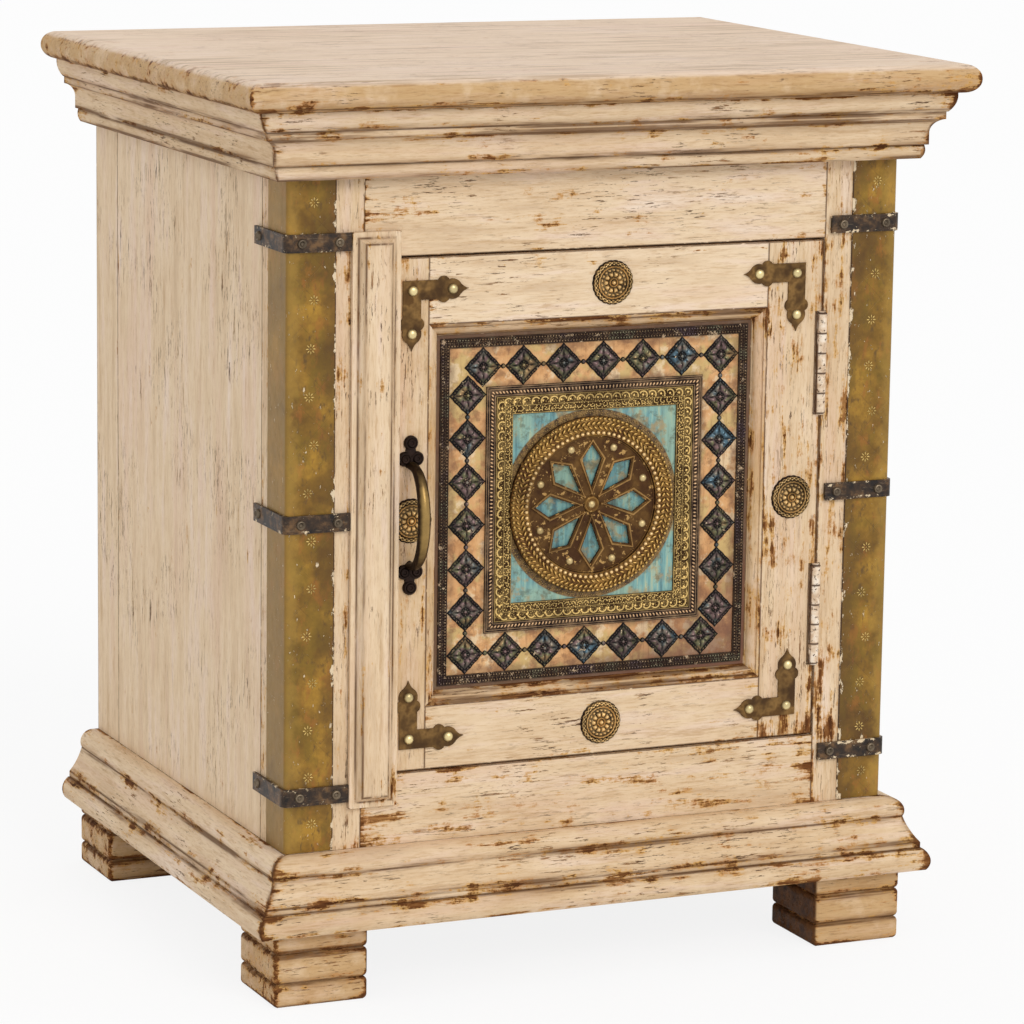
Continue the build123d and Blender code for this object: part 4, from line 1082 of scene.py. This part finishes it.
place_tree, entry, leave, item = repeat_tree("copies on places", {})
aim = put(place_tree, "GeometryNodeInputNamedAttribute", {"Name": "aim"}, data_type="FLOAT_VECTOR")
upright = put(place_tree, "FunctionNodeAlignRotationToVector", {"Vector": aim}, axis="Z")
set_down(place_tree, entry, leave, item, entry["Geometry"], upright)

field_tree, entry, leave, item = repeat_tree("grains on a plate", {"Spacing": "Float", "Seed": "Int"})
most_grains = 9e5
scatter = {"Mesh": entry["Geometry"], "Distance Min": entry["Spacing"], "Density Max": most_grains,
           "Seed": entry["Seed"]}
grains = put(field_tree, "GeometryNodeDistributePointsOnFaces", scatter, distribute_method="POISSON")
level = put(field_tree, "FunctionNodeAlignRotationToVector", {"Vector": (0, 0, 1)}, axis="Z")
set_down(field_tree, entry, leave, item, grains, level)
print("trees:", row_tree.name, "|", place_tree.name, "|", field_tree.name)


# %% Growing
def with_finish(mesh, finish):
    """A mesh with one metal."""
    mesh.materials.clear()
    mesh.materials.append(finish)
    return mesh


def grow(name, tree, base, item, finish, **sizes):
    """Run a tree once on a base mesh and keep the result as a plain mesh."""
    maker = bpy.data.objects.new(name, base)
    pattern = bpy.data.objects.new(name + "_item", item)
    scene.collection.objects.link(maker)
    modifier = maker.modifiers.new("repeat", "NODES")
    modifier.node_group = tree
    sockets = {s.name: s.identifier for s in tree.interface.items_tree if s.in_out == "INPUT"}
    for label, value in {"Item": pattern, "Finish": finish, **sizes}.items():
        modifier[sockets[label]] = value
    mesh = bpy.data.meshes.new_from_object(maker.evaluated_get(bpy.context.evaluated_depsgraph_get()))
    bpy.data.objects.remove(maker)
    bpy.data.objects.remove(pattern)
    return with_finish(mesh, finish)


print("inputs of a row:", [s.name for s in row_tree.interface.items_tree if s.in_out == "INPUT"])

# %% Assembling
crease_angle = math.radians(38)
HERE = Matrix.Identity(4)
OUT_OF_DOOR = (0, -1, 0)


def assemble(name, parts, body, stands_for=()):
    """Join (mesh, place) pairs into one piece that rides on a body."""
    shell = bmesh.new()
    finishes = []
    for mesh, place in parts:
        finish = mesh.materials[0]
        if finish not in finishes:
            finishes.append(finish)
        first_face = len(shell.faces)
        first_vert = len(shell.verts)
        shell.from_mesh(mesh)
        shell.faces.ensure_lookup_table()
        shell.verts.ensure_lookup_table()
        for face in shell.faces[first_face:]:
            face.material_index = finishes.index(finish)
        bmesh.ops.transform(shell, matrix=place, verts=shell.verts[first_vert:])
    joined = bpy.data.meshes.new(name)
    shell.to_mesh(joined)
    shell.free()
    for finish in finishes:
        joined.materials.append(finish)
    joined.shade_smooth()
    joined.set_sharp_from_angle(angle=crease_angle)
    piece = bpy.data.objects.new(name, joined)
    scene.collection.objects.link(piece)
    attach(piece, body)
    if stands_for:
        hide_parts(*stands_for)
    print(name, "triangles:", sum(len(face.vertices) - 2 for face in joined.polygons))


def on_door(across, deep, high):
    """Place for something made flat on the bench, facing up: it then faces out of the door."""
    return Matrix.Translation((across, deep, high)) @ Matrix.Rotation(math.pi / 2, 4, "X")


print("bench to door, turned about x by degrees:", round(math.degrees(on_door(0, 0, 0).to_euler().x)))


# %% Places that the joinery marks
def solids_of(name):
    """Lowest and highest corner of each separate solid in a joinery node."""
    shell = bmesh.new()
    shell.from_mesh(nodes[name].data)
    bmesh.ops.remove_doubles(shell, verts=shell.verts, dist=1e-6)
    waiting = set(shell.verts)
    boxes = []
    while waiting:
        solid = [waiting.pop()]
        for vert in solid:
            for edge in vert.link_edges:
                other = edge.other_vert(vert)
                if other in waiting:
                    waiting.remove(other)
                    solid.append(other)
        low = Vector([min(vert.co[axis] for vert in solid) for axis in range(3)])
        high = Vector([max(vert.co[axis] for vert in solid) for axis in range(3)])
        boxes.append((low, high))
    shell.free()
    return sorted(boxes, key=lambda box: [round(part, 5) for part in (*box[0], *box[1])])


def marked_places(name, places):
    """A mesh of loose points that know which way they face; places are (point, facing)."""
    mesh = bpy.data.meshes.new(name)
    mesh.from_pydata([point for point, facing in places], [], [])
    aim = mesh.attributes.new("aim", "FLOAT_VECTOR", "POINT")
    for mark, (point, facing) in zip(aim.data, places):
        mark.vector = facing
    return mesh


def nail_places(name, head_height):
    """Where the heads of a node's nails sit, and the way that they face."""
    places = []
    for low, high in solids_of(name):
        size = high - low
        seat = (low + high) / 2
        if size.y > size.x:
            seat.y = low.y + head_height
            places.append((seat, OUT_OF_DOOR))
        else:
            side = math.copysign(1, seat.x)
            seat.x = (low.x if side < 0 else high.x) - side * head_height
            places.append((seat, (side, 0, 0)))
    return places


print("diamonds in the joinery:", len(solids_of("panel_diamonds")))

# %% [markdown]
# ## Nails
#
# Four kinds of nail or screw show. The brackets and the medallion are held by pale round domes, the pull
# by dark screws, and the iron straps by nails whose heads are beaten into a low ring with a hollow
# middle. Each head is turned once and set down on the places where the joinery has its nails.

# %% Nail heads
def dome(radius, height, layers=5):
    """Profile of a domed head, from its top out and down."""
    profile = [(0, height)]
    for layer in range(1, layers + 1):
        turn = math.pi / 2 * layer / layers
        profile.append((radius * math.sin(turn), height * math.cos(turn)))
    return profile + [(radius * 0.96, -0.12 * mm), (0, -0.12 * mm)]


def in_mm(*pairs):
    """A profile written in millimetres."""
    return [(radius * mm, height * mm) for radius, height in pairs]


bracket_dome = turned("bracket_dome", dome(3.4 * mm, 2.6 * mm), 24)
medallion_dome = turned("medallion_dome", dome(2.6 * mm, 2.0 * mm), 18)
pull_dome = turned("pull_dome", in_mm((0, 0.25), (1.0, 0.3), (1.5, 1.0), (2.2, 1.15), (2.9, 0.5),
                                      (3.0, -0.1), (0, -0.1)), 18)
ring_head = turned("ring_head", in_mm((0, 0.35), (0.9, 0.45), (1.5, 1.2), (2.1, 1.75), (2.7, 1.5),
                                      (3.15, 0.6), (3.2, -0.1), (0, -0.1)), 20)
NAILS = [("bracket_nails", bracket_dome, 2.6 * mm, dome_brass, "door", "pale_brass"),
         ("medallion_nails", medallion_dome, 2.0 * mm, pale_brass, "door", "pale_brass"),
         ("pull_screws", pull_dome, 1.2 * mm, plate_metal, "door", "dark_bronze"),
         ("strap_nails", ring_head, 1.8 * mm, nail_iron, "case", "black_iron")]
for name, head, height, finish, body, record_slot in NAILS:
    seats = nail_places(name, height)
    heads = grow(name + "_heads", place_tree, marked_places(name + "_seats", seats), head, finish)
    assemble(name + "_heads", [(heads, HERE)], body, (name,))

# %% [markdown]
# ## Rosettes
#
# Each rosette is a thin disc stamped over a die: a scalloped edge, two wires that loop through each
# other, a plain ring, a ring of dots, petals and a boss with a collar. It could be built from separate
# rings and petals, but a stamped sheet is one skin, so it is made as one disc whose height follows a
# formula. The left rosette runs under the cover strip, so its disc is cut there.

# %% Rosette relief
rosette_solids = solids_of("rosettes")
rosette_radius = max((high.x - low.x) / 2 for low, high in rosette_solids)


def rosette_reach(turn):
    """Scalloped edge."""
    return rosette_radius * (0.972 + 0.028 * abs(math.cos(11 * turn)))


def looped_wire(share, turn, side):
    """Height of one of two wires that wave through each other round the edge."""
    off = abs(share - (0.875 + side * 0.055 * math.sin(13 * turn))) / 0.038
    return math.sqrt(max(0.0, 1 - off ** 2))


def rosette_relief(share, turn):
    """Height of the sheet: boss, its collar, petals, dots, plain ring, looped wires, edge."""
    height = 1.2
    height += 2.4 * math.sqrt(max(0.0, 1 - (share / 0.11) ** 2))
    height += 1.5 * hump(share, 0.14, 0.22)
    petal = abs(math.cos(5 * turn)) ** 0.8
    height += 1.7 * hump(share, 0.24, 0.48) * petal - 0.4 * hump(share, 0.24, 0.48) * (1 - petal)
    height += 1.4 * hump(share, 0.50, 0.63) * (0.5 - 0.5 * math.cos(18 * turn))
    height += 1.4 * hump(share, 0.66, 0.75)
    height += 1.4 * max(looped_wire(share, turn, 1), looped_wire(share, turn, -1))
    height -= 0.4 * min(1.0, max(0.0, share - 0.77) / 0.04) + 6.0 * max(0.0, share - 0.88)
    return height * mm


print("rosette radius, mm:", round(rosette_radius / mm, 2), "and there are", len(rosette_solids))

# %% Rosette discs
rosette_disc = with_finish(stamped("rosette_disc", rosette_reach, rosette_relief, 44, 132), rosette_brass)
strip_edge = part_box("cover_strip")[1].x
rosettes = []
for low, high in rosette_solids:
    whole = high.x - low.x > 1.99 * rosette_radius
    across = low.x + rosette_radius if whole else high.x - rosette_radius
    disc = rosette_disc.copy()
    disc.transform(on_door(across, high.y, (low.z + high.z) / 2))
    if across - rosette_radius < strip_edge:
        cut = bmesh.new()
        cut.from_mesh(disc)
        edges = bmesh.ops.bisect_plane(cut, geom=[*cut.verts, *cut.edges, *cut.faces], clear_inner=True,
                                       plane_co=(strip_edge + 0.2 * mm, 0, 0), plane_no=(1, 0, 0))["geom_cut"]
        bmesh.ops.holes_fill(cut, edges=[part for part in edges if isinstance(part, bmesh.types.BMEdge)])
        cut.to_mesh(disc)
        cut.free()
    rosettes.append((disc, HERE))
assemble("stamped_rosettes", rosettes, "door", ("rosettes",))

# %% [markdown]
# ## Diamonds
#
# Twenty-six stamped diamonds run round the panel, point to point. Each has four leaves along its
# points, four smaller ones between them, a raised edge and a button in the middle. A small button also
# covers each place where two points meet.

# %% Diamond relief
diamond_solids = solids_of("panel_diamonds")
diamond_reach_at_point = (diamond_solids[0][1].x - diamond_solids[0][0].x) / 2 + 0.5 * mm


def diamond_outline(turn):
    """A square standing on its point, its sides bowed in a little towards narrow points."""
    straight = diamond_reach_at_point / (abs(math.cos(turn)) + abs(math.sin(turn)))
    between = abs(math.sin(2 * turn))
    return straight * (1 - 0.035 * math.sin(2 * math.pi * between) * between)


def diamond_relief(share, turn):
    """Height of the diamond: button, its ring, leaves, small leaves, dashes, raised edge."""
    leaf = abs(math.cos(2 * turn)) ** 1.5
    small_leaf = abs(math.sin(2 * turn)) ** 5
    height = 0.5
    height += 1.3 * math.sqrt(max(0.0, 1 - (share / 0.12) ** 2))
    height += 1.0 * hump(share, 0.13, 0.25) * (0.5 + 0.5 * math.cos(8 * turn))
    height += 1.25 * hump(share, 0.24, 0.80) * leaf - 1.1 * hump(share, 0.30, 0.72) * leaf ** 12
    height += 1.15 * hump(share, 0.30, 0.76) * small_leaf - 0.9 * hump(share, 0.38, 0.68) * small_leaf ** 5
    height += 0.7 * hump(share, 0.42, 0.60) * max(0.0, math.cos(12 * turn + 1.6)) ** 2
    height += 1.0 * hump(share, 0.79, 0.94) * math.cos(14 * turn) ** 2
    height -= 0.2 * min(1.0, max(0.0, share - 0.91) / 0.03)
    return max(0.3, height) * mm


print("a diamond, mm from point to point:", round(2 * diamond_reach_at_point / mm, 2))

# %% Diamonds and the buttons between them
diamond = stamped("diamond", diamond_outline, diamond_relief, 26, 84)
middles = [(low + high) / 2 for low, high in diamond_solids]
seats = [Vector((point.x, panel_plane, point.z)) for point in middles]
marked = marked_places("diamond_seats", [(seat, OUT_OF_DOOR) for seat in seats])
diamonds = grow("stamped_diamonds", place_tree, marked, diamond, oxide)
button = turned("button", dome(1.7 * mm, 1.3 * mm, layers=4), 12)
pitch = 2.3 * diamond_reach_at_point
between = [((a + b) / 2, OUT_OF_DOOR) for number, a in enumerate(seats) for b in seats[number + 1:]
           if (a - b).length < pitch and min(abs(a.x - b.x), abs(a.z - b.z)) < mm]
buttons = grow("diamond_buttons", place_tree, marked_places("button_seats", between), button, oxide)
assemble("stamped_diamonds", [(diamonds, HERE), (buttons, HERE)], "door",
         ("panel_diamonds",))

# %% [markdown]
# ## Beaded borders
#
# The flat border strips are already there. On them go rows of small punched beads, chevrons and rungs
# between thin wires. They stand on the strips' faces, so they are made flat on the bench round the
# panel's middle and then placed on the door.

# %% Rows and wires round the panel
trim_middle = (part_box("outer_border")[0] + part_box("outer_border")[1]) / 2
on_trim = on_door(trim_middle.x, trim_plane, trim_middle.z)


def frame_corners(node, inset):
    """Corners of a rectangle at some inset from a border's outer edge, made flat on the bench."""
    half = half_box(node)
    half_x, half_z = half.x - inset, half.z - inset
    return [(half_x, half_z, 0), (half_x, -half_z, 0), (-half_x, -half_z, 0), (-half_x, half_z, 0)]


def edge_wires(node, insets, radius, finish):
    """Thin wires at given insets from a border's outer edge."""
    return [(with_finish(bent_wire("edge_wire", frame_corners(node, inset), radius), finish), on_trim)
            for inset in insets]


def frame_row(name, node, inset, pitch, item, finish):
    """A row of items along a border, about one to each pitch."""
    corners = frame_corners(node, inset)
    path = bpy.data.meshes.new(name + "_path")
    path.from_pydata(corners, [(0, 1), (1, 2), (2, 3), (3, 0)], [])
    count = round(4 * (corners[0][0] + corners[0][1]) / pitch)
    return grow(name, row_tree, path, item, finish, Count=count), on_trim


def chevron(name, width, length, radius):
    """A small wire V lying on the bench."""
    points = [(-length / 2, -width / 2, 0), (length / 2, 0, 0), (-length / 2, width / 2, 0)]
    return bent_wire(name, points, radius, cyclic=False)


print("outer border, mm:", round(2 * border_half.x / mm, 1), "x", round(2 * border_half.z / mm, 1))

# %% Outer and inner border
tiny_bead = bead("tiny_bead", 1.35 * mm, 1.35 * mm, 0.8 * mm)
stroke = chevron("border_chevron", 2.4 * mm, 1.8 * mm, 0.42 * mm)
parts = edge_wires("outer_border", (0.45 * mm, 6.05 * mm), 0.36 * mm, border_metal)
for name, inset, pitch, item in (("outer_beads", 1.5 * mm, 2.0 * mm, tiny_bead),
                                 ("inner_beads", 5.0 * mm, 2.0 * mm, tiny_bead),
                                 ("outer_chevrons", 3.25 * mm, 2.9 * mm, stroke)):
    parts.append(frame_row(name, "outer_border", inset, pitch, item, border_metal))
assemble("outer_border_beading", parts, "door")

rung = bead("rung", 1.3 * mm, 2.9 * mm, 1.0 * mm)
parts = edge_wires("inner_border", (0.6 * mm, 2.0 * mm, 6.1 * mm), 0.4 * mm, inner_metal)
parts.append(frame_row("inner_rungs", "inner_border", 4.1 * mm, 2.45 * mm, rung, inner_metal))
assemble("inner_border_beading", parts, "door")

# %% [markdown]
# ## Gold band
#
# The square band round the painted field is grained all over, with a row of little arches along its
# outer edge and a finer row inside it. The graining is a field of tiny beads scattered with a fixed seed
# and a least distance, which gives the close, uneven look of punched metal.

# %% Arches and grains
arch_radius = 2.75 * mm
arch_steps = 10
arch_turns = [math.pi * step / arch_steps for step in range(arch_steps + 1)]
arch_points = [(arch_radius * math.cos(turn), arch_radius * math.sin(turn) - 1.3 * mm, 0)
               for turn in arch_turns]
arch = bent_wire("arch", arch_points, 0.7 * mm, cyclic=False)
arch_bead = bead("arch_bead", 2.0 * mm, 2.0 * mm, 1.0 * mm)
small_arch = arch.copy()
small_arch.transform(Matrix.Diagonal((0.62, -0.62, 0.85, 1)))


def frame_plate(outer, inner):
    """A flat ring of four faces between two insets from the gold band's outer edge."""
    mesh = bpy.data.meshes.new("frame_plate")
    half = half_box("gold_band")
    rings = [[(sx * (half.x - inset), sz * (half.z - inset), 0)
              for sx, sz in ((1, 1), (-1, 1), (-1, -1), (1, -1))] for inset in (outer, inner)]
    faces = [(side, (side + 1) % 4, 4 + (side + 1) % 4, 4 + side) for side in range(4)]
    mesh.from_pydata(rings[0] + rings[1], [], faces)
    return mesh


print("points in an arch:", len(arch_points))

# %% Gold band
parts = edge_wires("gold_band", (0.4 * mm, 6.3 * mm, 11.5 * mm), 0.42 * mm, gold)
for name, inset, pitch, item in (("arches", 3.1 * mm, 6.55 * mm, arch),
                                 ("arch_beads", 3.9 * mm, 6.55 * mm, arch_bead),
                                 ("small_arches", 8.9 * mm, 4.6 * mm, small_arch)):
    parts.append(frame_row(name, "gold_band", inset, pitch, item, gold))
grain = bead("grain", 1.25 * mm, 1.05 * mm, 0.75 * mm, turn=0.7, steps=6)
fine_grain = bead("fine_grain", 1.0 * mm, 1.0 * mm, 0.5 * mm, steps=5)
for name, plate, item, spacing, seed in (
        ("grains", frame_plate(6.4 * mm, 11.3 * mm), grain, 1.3 * mm, 7),
        ("fine_grains", frame_plate(0.9 * mm, 5.7 * mm), fine_grain, 1.2 * mm, 11)):
    parts.append((grow(name, field_tree, plate, item, gold, Spacing=spacing, Seed=seed), on_trim))
assemble("gold_band_graining", parts, "door")

# %% [markdown]
# ## Medallion
#
# The pierced disc is already there. Its raised rim carries, from the outside in, a ring of beads, two
# ropes of slanting strokes and a ring of larger beads. Each of the eight openings has a raised wire lip.
# Round the disc lies a narrow collar of gold grains, which hides the painted square but for its corners.

# %% Rings of the medallion
plate_top = 1.6 * mm
rim_top = medallion_high.y - medallion_low.y
on_rim = rim_top - 0.1 * mm
ring_steps = 96
on_medallion = on_door(*medallion_middle)


def ring_row(name, radius, lift, pitch, item, finish):
    """A ring of items round the medallion's middle."""
    mesh = bpy.data.meshes.new(name + "_path")
    links = [(step, (step + 1) % ring_steps) for step in range(ring_steps)]
    mesh.from_pydata(circle(radius, lift, ring_steps), links, [])
    count = round(2 * math.pi * radius / pitch)
    return grow(name, row_tree, mesh, item, finish, Count=count), on_medallion


def ring_wire(inset, lift, thickness):
    """A thin round wire at some inset from the rim."""
    wire = bent_wire("ring_wire", circle(medallion_radius - inset, lift, ring_steps), thickness)
    return with_finish(wire, medallion_brass), on_medallion


rope_stroke = bead("rope_stroke", 4.1 * mm, 1.45 * mm, 2.0 * mm, turn=math.radians(40))
rope_back_stroke = bead("rope_back_stroke", 4.1 * mm, 1.45 * mm, 2.0 * mm, turn=math.radians(-40))
rim_bead = bead("rim_bead", 2.6 * mm, 2.2 * mm, 1.7 * mm, steps=10)
large_bead = bead("large_bead", 3.0 * mm, 3.0 * mm, 2.5 * mm, steps=12)
RINGS = [("rim_beads", 1.2 * mm, 3.3 * mm, rim_bead, rope_brass),
         ("outer_rope", 4.1 * mm, 3.6 * mm, rope_stroke, rope_brass),
         ("inner_rope", 7.3 * mm, 3.6 * mm, rope_back_stroke, rope_brass),
         ("large_beads", 10.5 * mm, 3.8 * mm, large_bead, highlit_bead_brass)]
parts = [ring_row(name, medallion_radius - inset, on_rim, pitch, item, metal)
         for name, inset, pitch, item, metal in RINGS]
parts += [ring_wire(inset, on_rim, 0.3 * mm) for inset in (2.6 * mm, 5.7 * mm, 8.9 * mm)]
parts.append(ring_wire(13.4 * mm, plate_top, 0.6 * mm))
print("rings on the medallion:", len(parts))

# %% Petal lips
petal_count = 8
lip_grow = 1.7 * mm
petal_inner = 11.0 * mm
petal_outer = medallion_radius - 18.5 * mm
petal_shoulder = petal_inner + 0.66 * (petal_outer - petal_inner)
petal_half_width = petal_shoulder * math.tan(math.pi / petal_count) - 5.45 * mm
lip_half_width = petal_half_width + lip_grow
lip = [(petal_inner - 2 * lip_grow, 0, plate_top), (petal_shoulder, -lip_half_width, plate_top),
       (petal_outer + 1.6 * lip_grow, 0, plate_top), (petal_shoulder, lip_half_width, plate_top)]
for number in range(petal_count):
    petal_lip = with_finish(bent_wire("petal_lip", lip, 1.15 * mm), lip_brass)
    turn = Matrix.Rotation(2 * math.pi * number / petal_count, 4, "Z")
    parts.append((petal_lip, on_medallion @ turn))
print("petals reach, mm:", round(petal_inner / mm, 1), "to", round(petal_outer / mm, 1))

# %% Hub and collar
hub = turned("hub", in_mm((0, 0.5), (3.4, 0.5), (4.2, 1.3), (5.0, 1.2), (5.8, 0.3), (6.0, -0.1),
                          (0, -0.1)), 28)
parts.append((with_finish(hub, medallion_brass), on_medallion @ Matrix.Translation((0, 0, plate_top))))
hub_bead = bead("hub_bead", 2.2 * mm, 2.2 * mm, 1.6 * mm, steps=10)
parts.append(ring_row("hub_beads", 7.3 * mm, plate_top, 5.7 * mm, hub_bead, lip_brass))


def ring_plate(name, inner, outer, steps=72):
    """A flat ring of faces between two radii."""
    mesh = bpy.data.meshes.new(name)
    faces = [(step, (step + 1) % steps, steps + (step + 1) % steps, steps + step) for step in range(steps)]
    mesh.from_pydata(circle(outer, 0, steps) + circle(inner, 0, steps), [], faces)
    return mesh


collar_plate = ring_plate("collar_plate", medallion_radius + 0.7 * mm,
                          medallion_radius + collar_width - 0.7 * mm)
collar_grain = bead("collar_grain", 1.3 * mm, 1.0 * mm, 0.7 * mm, turn=0.5, steps=6)
collar_grains = grow("collar_grains", field_tree, collar_plate, collar_grain, collar_gold,
                     Spacing=1.35 * mm, Seed=5)
parts.append((collar_grains, on_door(medallion_middle.x, panel_plane, medallion_middle.z)))
assemble("medallion_relief", parts, "door")

# %% [markdown]
# ## Pull
#
# The pull is one casting: two dark three-lobed plates, and an arched grip that starts thin at the
# plates and swells to the middle, where hands have rubbed it bright and a highlight is painted on it;
# its flanks get painted shade. A bent pipe would be even all along, so the grip is a skin over rings
# whose size follows the arch.

# %% Grip
pull_low, pull_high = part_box("pull")
pull_middle = (pull_low + pull_high) / 2
grip_half_span = 33.0 * mm
grip_stand_off = pull_high.y - pull_low.y - 3.6 * mm
grip_steps = 40
grip_sides = 16
grip_reach = 0.98


def grip_ring(share):
    """One ring of the grip; share runs from -1 at the lower plate to 1 at the upper one."""
    turn = share * math.pi / 2
    middle = Vector((0, grip_half_span * math.sin(turn), grip_stand_off * math.cos(turn) ** 0.75 - 0.4 * mm))
    slope = Vector((0, grip_half_span * math.cos(turn), -grip_stand_off * math.sin(turn)))
    outward = slope.normalized().cross(Vector((-1, 0, 0)))
    swell = math.cos(turn) ** 0.8
    flare = max(0.0, abs(share) - 0.82) / 0.18
    wide = Vector((1, 0, 0)) * (2.7 + 1.5 * swell + 1.6 * flare) * mm
    thick = outward * (2.4 + 1.3 * swell) * mm
    angles = [2 * math.pi * step / grip_sides for step in range(grip_sides)]
    return middle, [middle + wide * math.cos(angle) + thick * math.sin(angle) for angle in angles]


rings = [grip_ring(2 * grip_reach * step / grip_steps - grip_reach) for step in range(grip_steps + 1)]
grip = skin("grip", [[rings[0][0]], *[ring for middle, ring in rings], [rings[-1][0]]])
print("grip stands off by, mm:", round(grip_stand_off / mm, 1))

# %% Pull finish
def pull_finish():
    """Dark at the plates, rubbed bright and given a painted highlight in the middle of the grip.

    Its flanks get painted shade.
    """
    finish, shader, place = new_finish("pull_brass", 0.85)
    across, deep, height = split(place)
    # Painted highlight with wear along the grip's middle, painted shade on its flanks
    along_grip = fade(abs(height - pull_middle.z), 38 * mm, 6 * mm)
    shaded_flanks = fade(abs(across - pull_middle.x), 1.6 * mm, 4.0 * mm)
    rubbed = (along_grip - shaded_flanks) * 0.9
    values = {"Place": place, "Rubbed and lit": rubbed, "Hollow": ink(40, 25, 12), "High": ink(168, 136, 80)}
    metal = put(place.tree, "ShaderNodeGroup", values, node_tree=metal_tree)
    coat(shader, metal["Color"], 0.45 - rubbed * 0.2, metal["Height"], 0.1 * mm)
    return finish


grip = with_finish(grip, pull_finish())
print("metal of the grip:", grip.materials[0].name)

# %% Plates
lobe_dish = turned("lobe", in_mm((0, 1.5), (2.7, 1.5), (3.3, 2.6), (4.1, 2.6), (4.8, 1.5), (4.8, 0),
                                 (0, 0)), 24)
web = turned("web", in_mm((0, 2.2), (3.2, 2.1), (4.7, 1.2), (4.9, 0), (0, 0)), 20)
web_offset = 39 * mm
web_stretch = Matrix.Diagonal((0.8, 1.9, 1, 1))
parts = [(grip, on_door(pull_middle.x, pull_high.y, pull_middle.z))]
for low, high in solids_of("pull_screws"):
    seat = on_door((low.x + high.x) / 2, pull_high.y, (low.z + high.z) / 2)
    parts.append((with_finish(lobe_dish.copy(), plate_metal), seat))
for side in (-1, 1):
    seat = on_door(pull_middle.x, pull_high.y, pull_middle.z + side * web_offset)
    parts.append((with_finish(web.copy(), plate_metal), seat @ web_stretch))
assemble("cast_pull", parts, "door", ("pull",))

# %% [markdown]
# ## Corners with punched stars
#
# The sheet's stars are punched by hand down the middle of the corner, a little off line. Each star is
# eight tiny pips round a ninth. The stars are left out where a strap covers the sheet.

# %% One star
star_arms = 8
star = bmesh.new()
star.from_mesh(bead("pip", 0.9 * mm, 0.9 * mm, 0.35 * mm, steps=6))
for number in range(star_arms):
    arm = bead("star_arm", 2.7 * mm, 1.0 * mm, 0.35 * mm, steps=6)
    turn = Matrix.Rotation(2 * math.pi * number / star_arms, 4, "Z")
    arm.transform(turn @ Matrix.Translation((2.4 * mm, 0, 0)))
    star.from_mesh(arm)
star_mesh = bpy.data.meshes.new("star")
star.to_mesh(star_mesh)
star.free()
print("faces of a star:", len(star_mesh.polygons))

# %% Sheets, straps and stars
star_pitch = 31 * mm
star_stagger = 2.2 * mm
star_clearance = 11 * mm
for side in ("left", "right"):
    low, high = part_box("brass_corner_" + side)
    levels = [(a.z + b.z) / 2 for a, b in solids_of("straps_" + side)]
    free_edge = min(abs(low.x), abs(high.x))
    dress("brass_corner_" + side, sheet_finish("brass_sheet_" + side, free_edge, levels))
    dress("straps_" + side, strap_finish("strap_iron_" + side, levels, CRUST[side]))
    places = []
    for number in range(int((high.z - low.z) / star_pitch)):
        height = low.z + (number + 0.6) * star_pitch
        if min(abs(height - level) for level in levels) >= star_clearance:
            across = (low.x + high.x) / 2 + star_stagger * math.sin(2.4 * number + 1)
            places.append((Vector((across, low.y, height)), OUT_OF_DOOR))
    # The stars' lift paints highlights on their pips and shade at their base
    punched = old_metal("punched_" + side, ink(66, 46, 18), ink(206, 174, 104), lift=(low.y, 0.32 * mm))
    stars = grow("stars", place_tree, marked_places("star_seats", places), star_mesh, punched)
    assemble("punched_stars_" + side, [(stars, HERE)], "case")
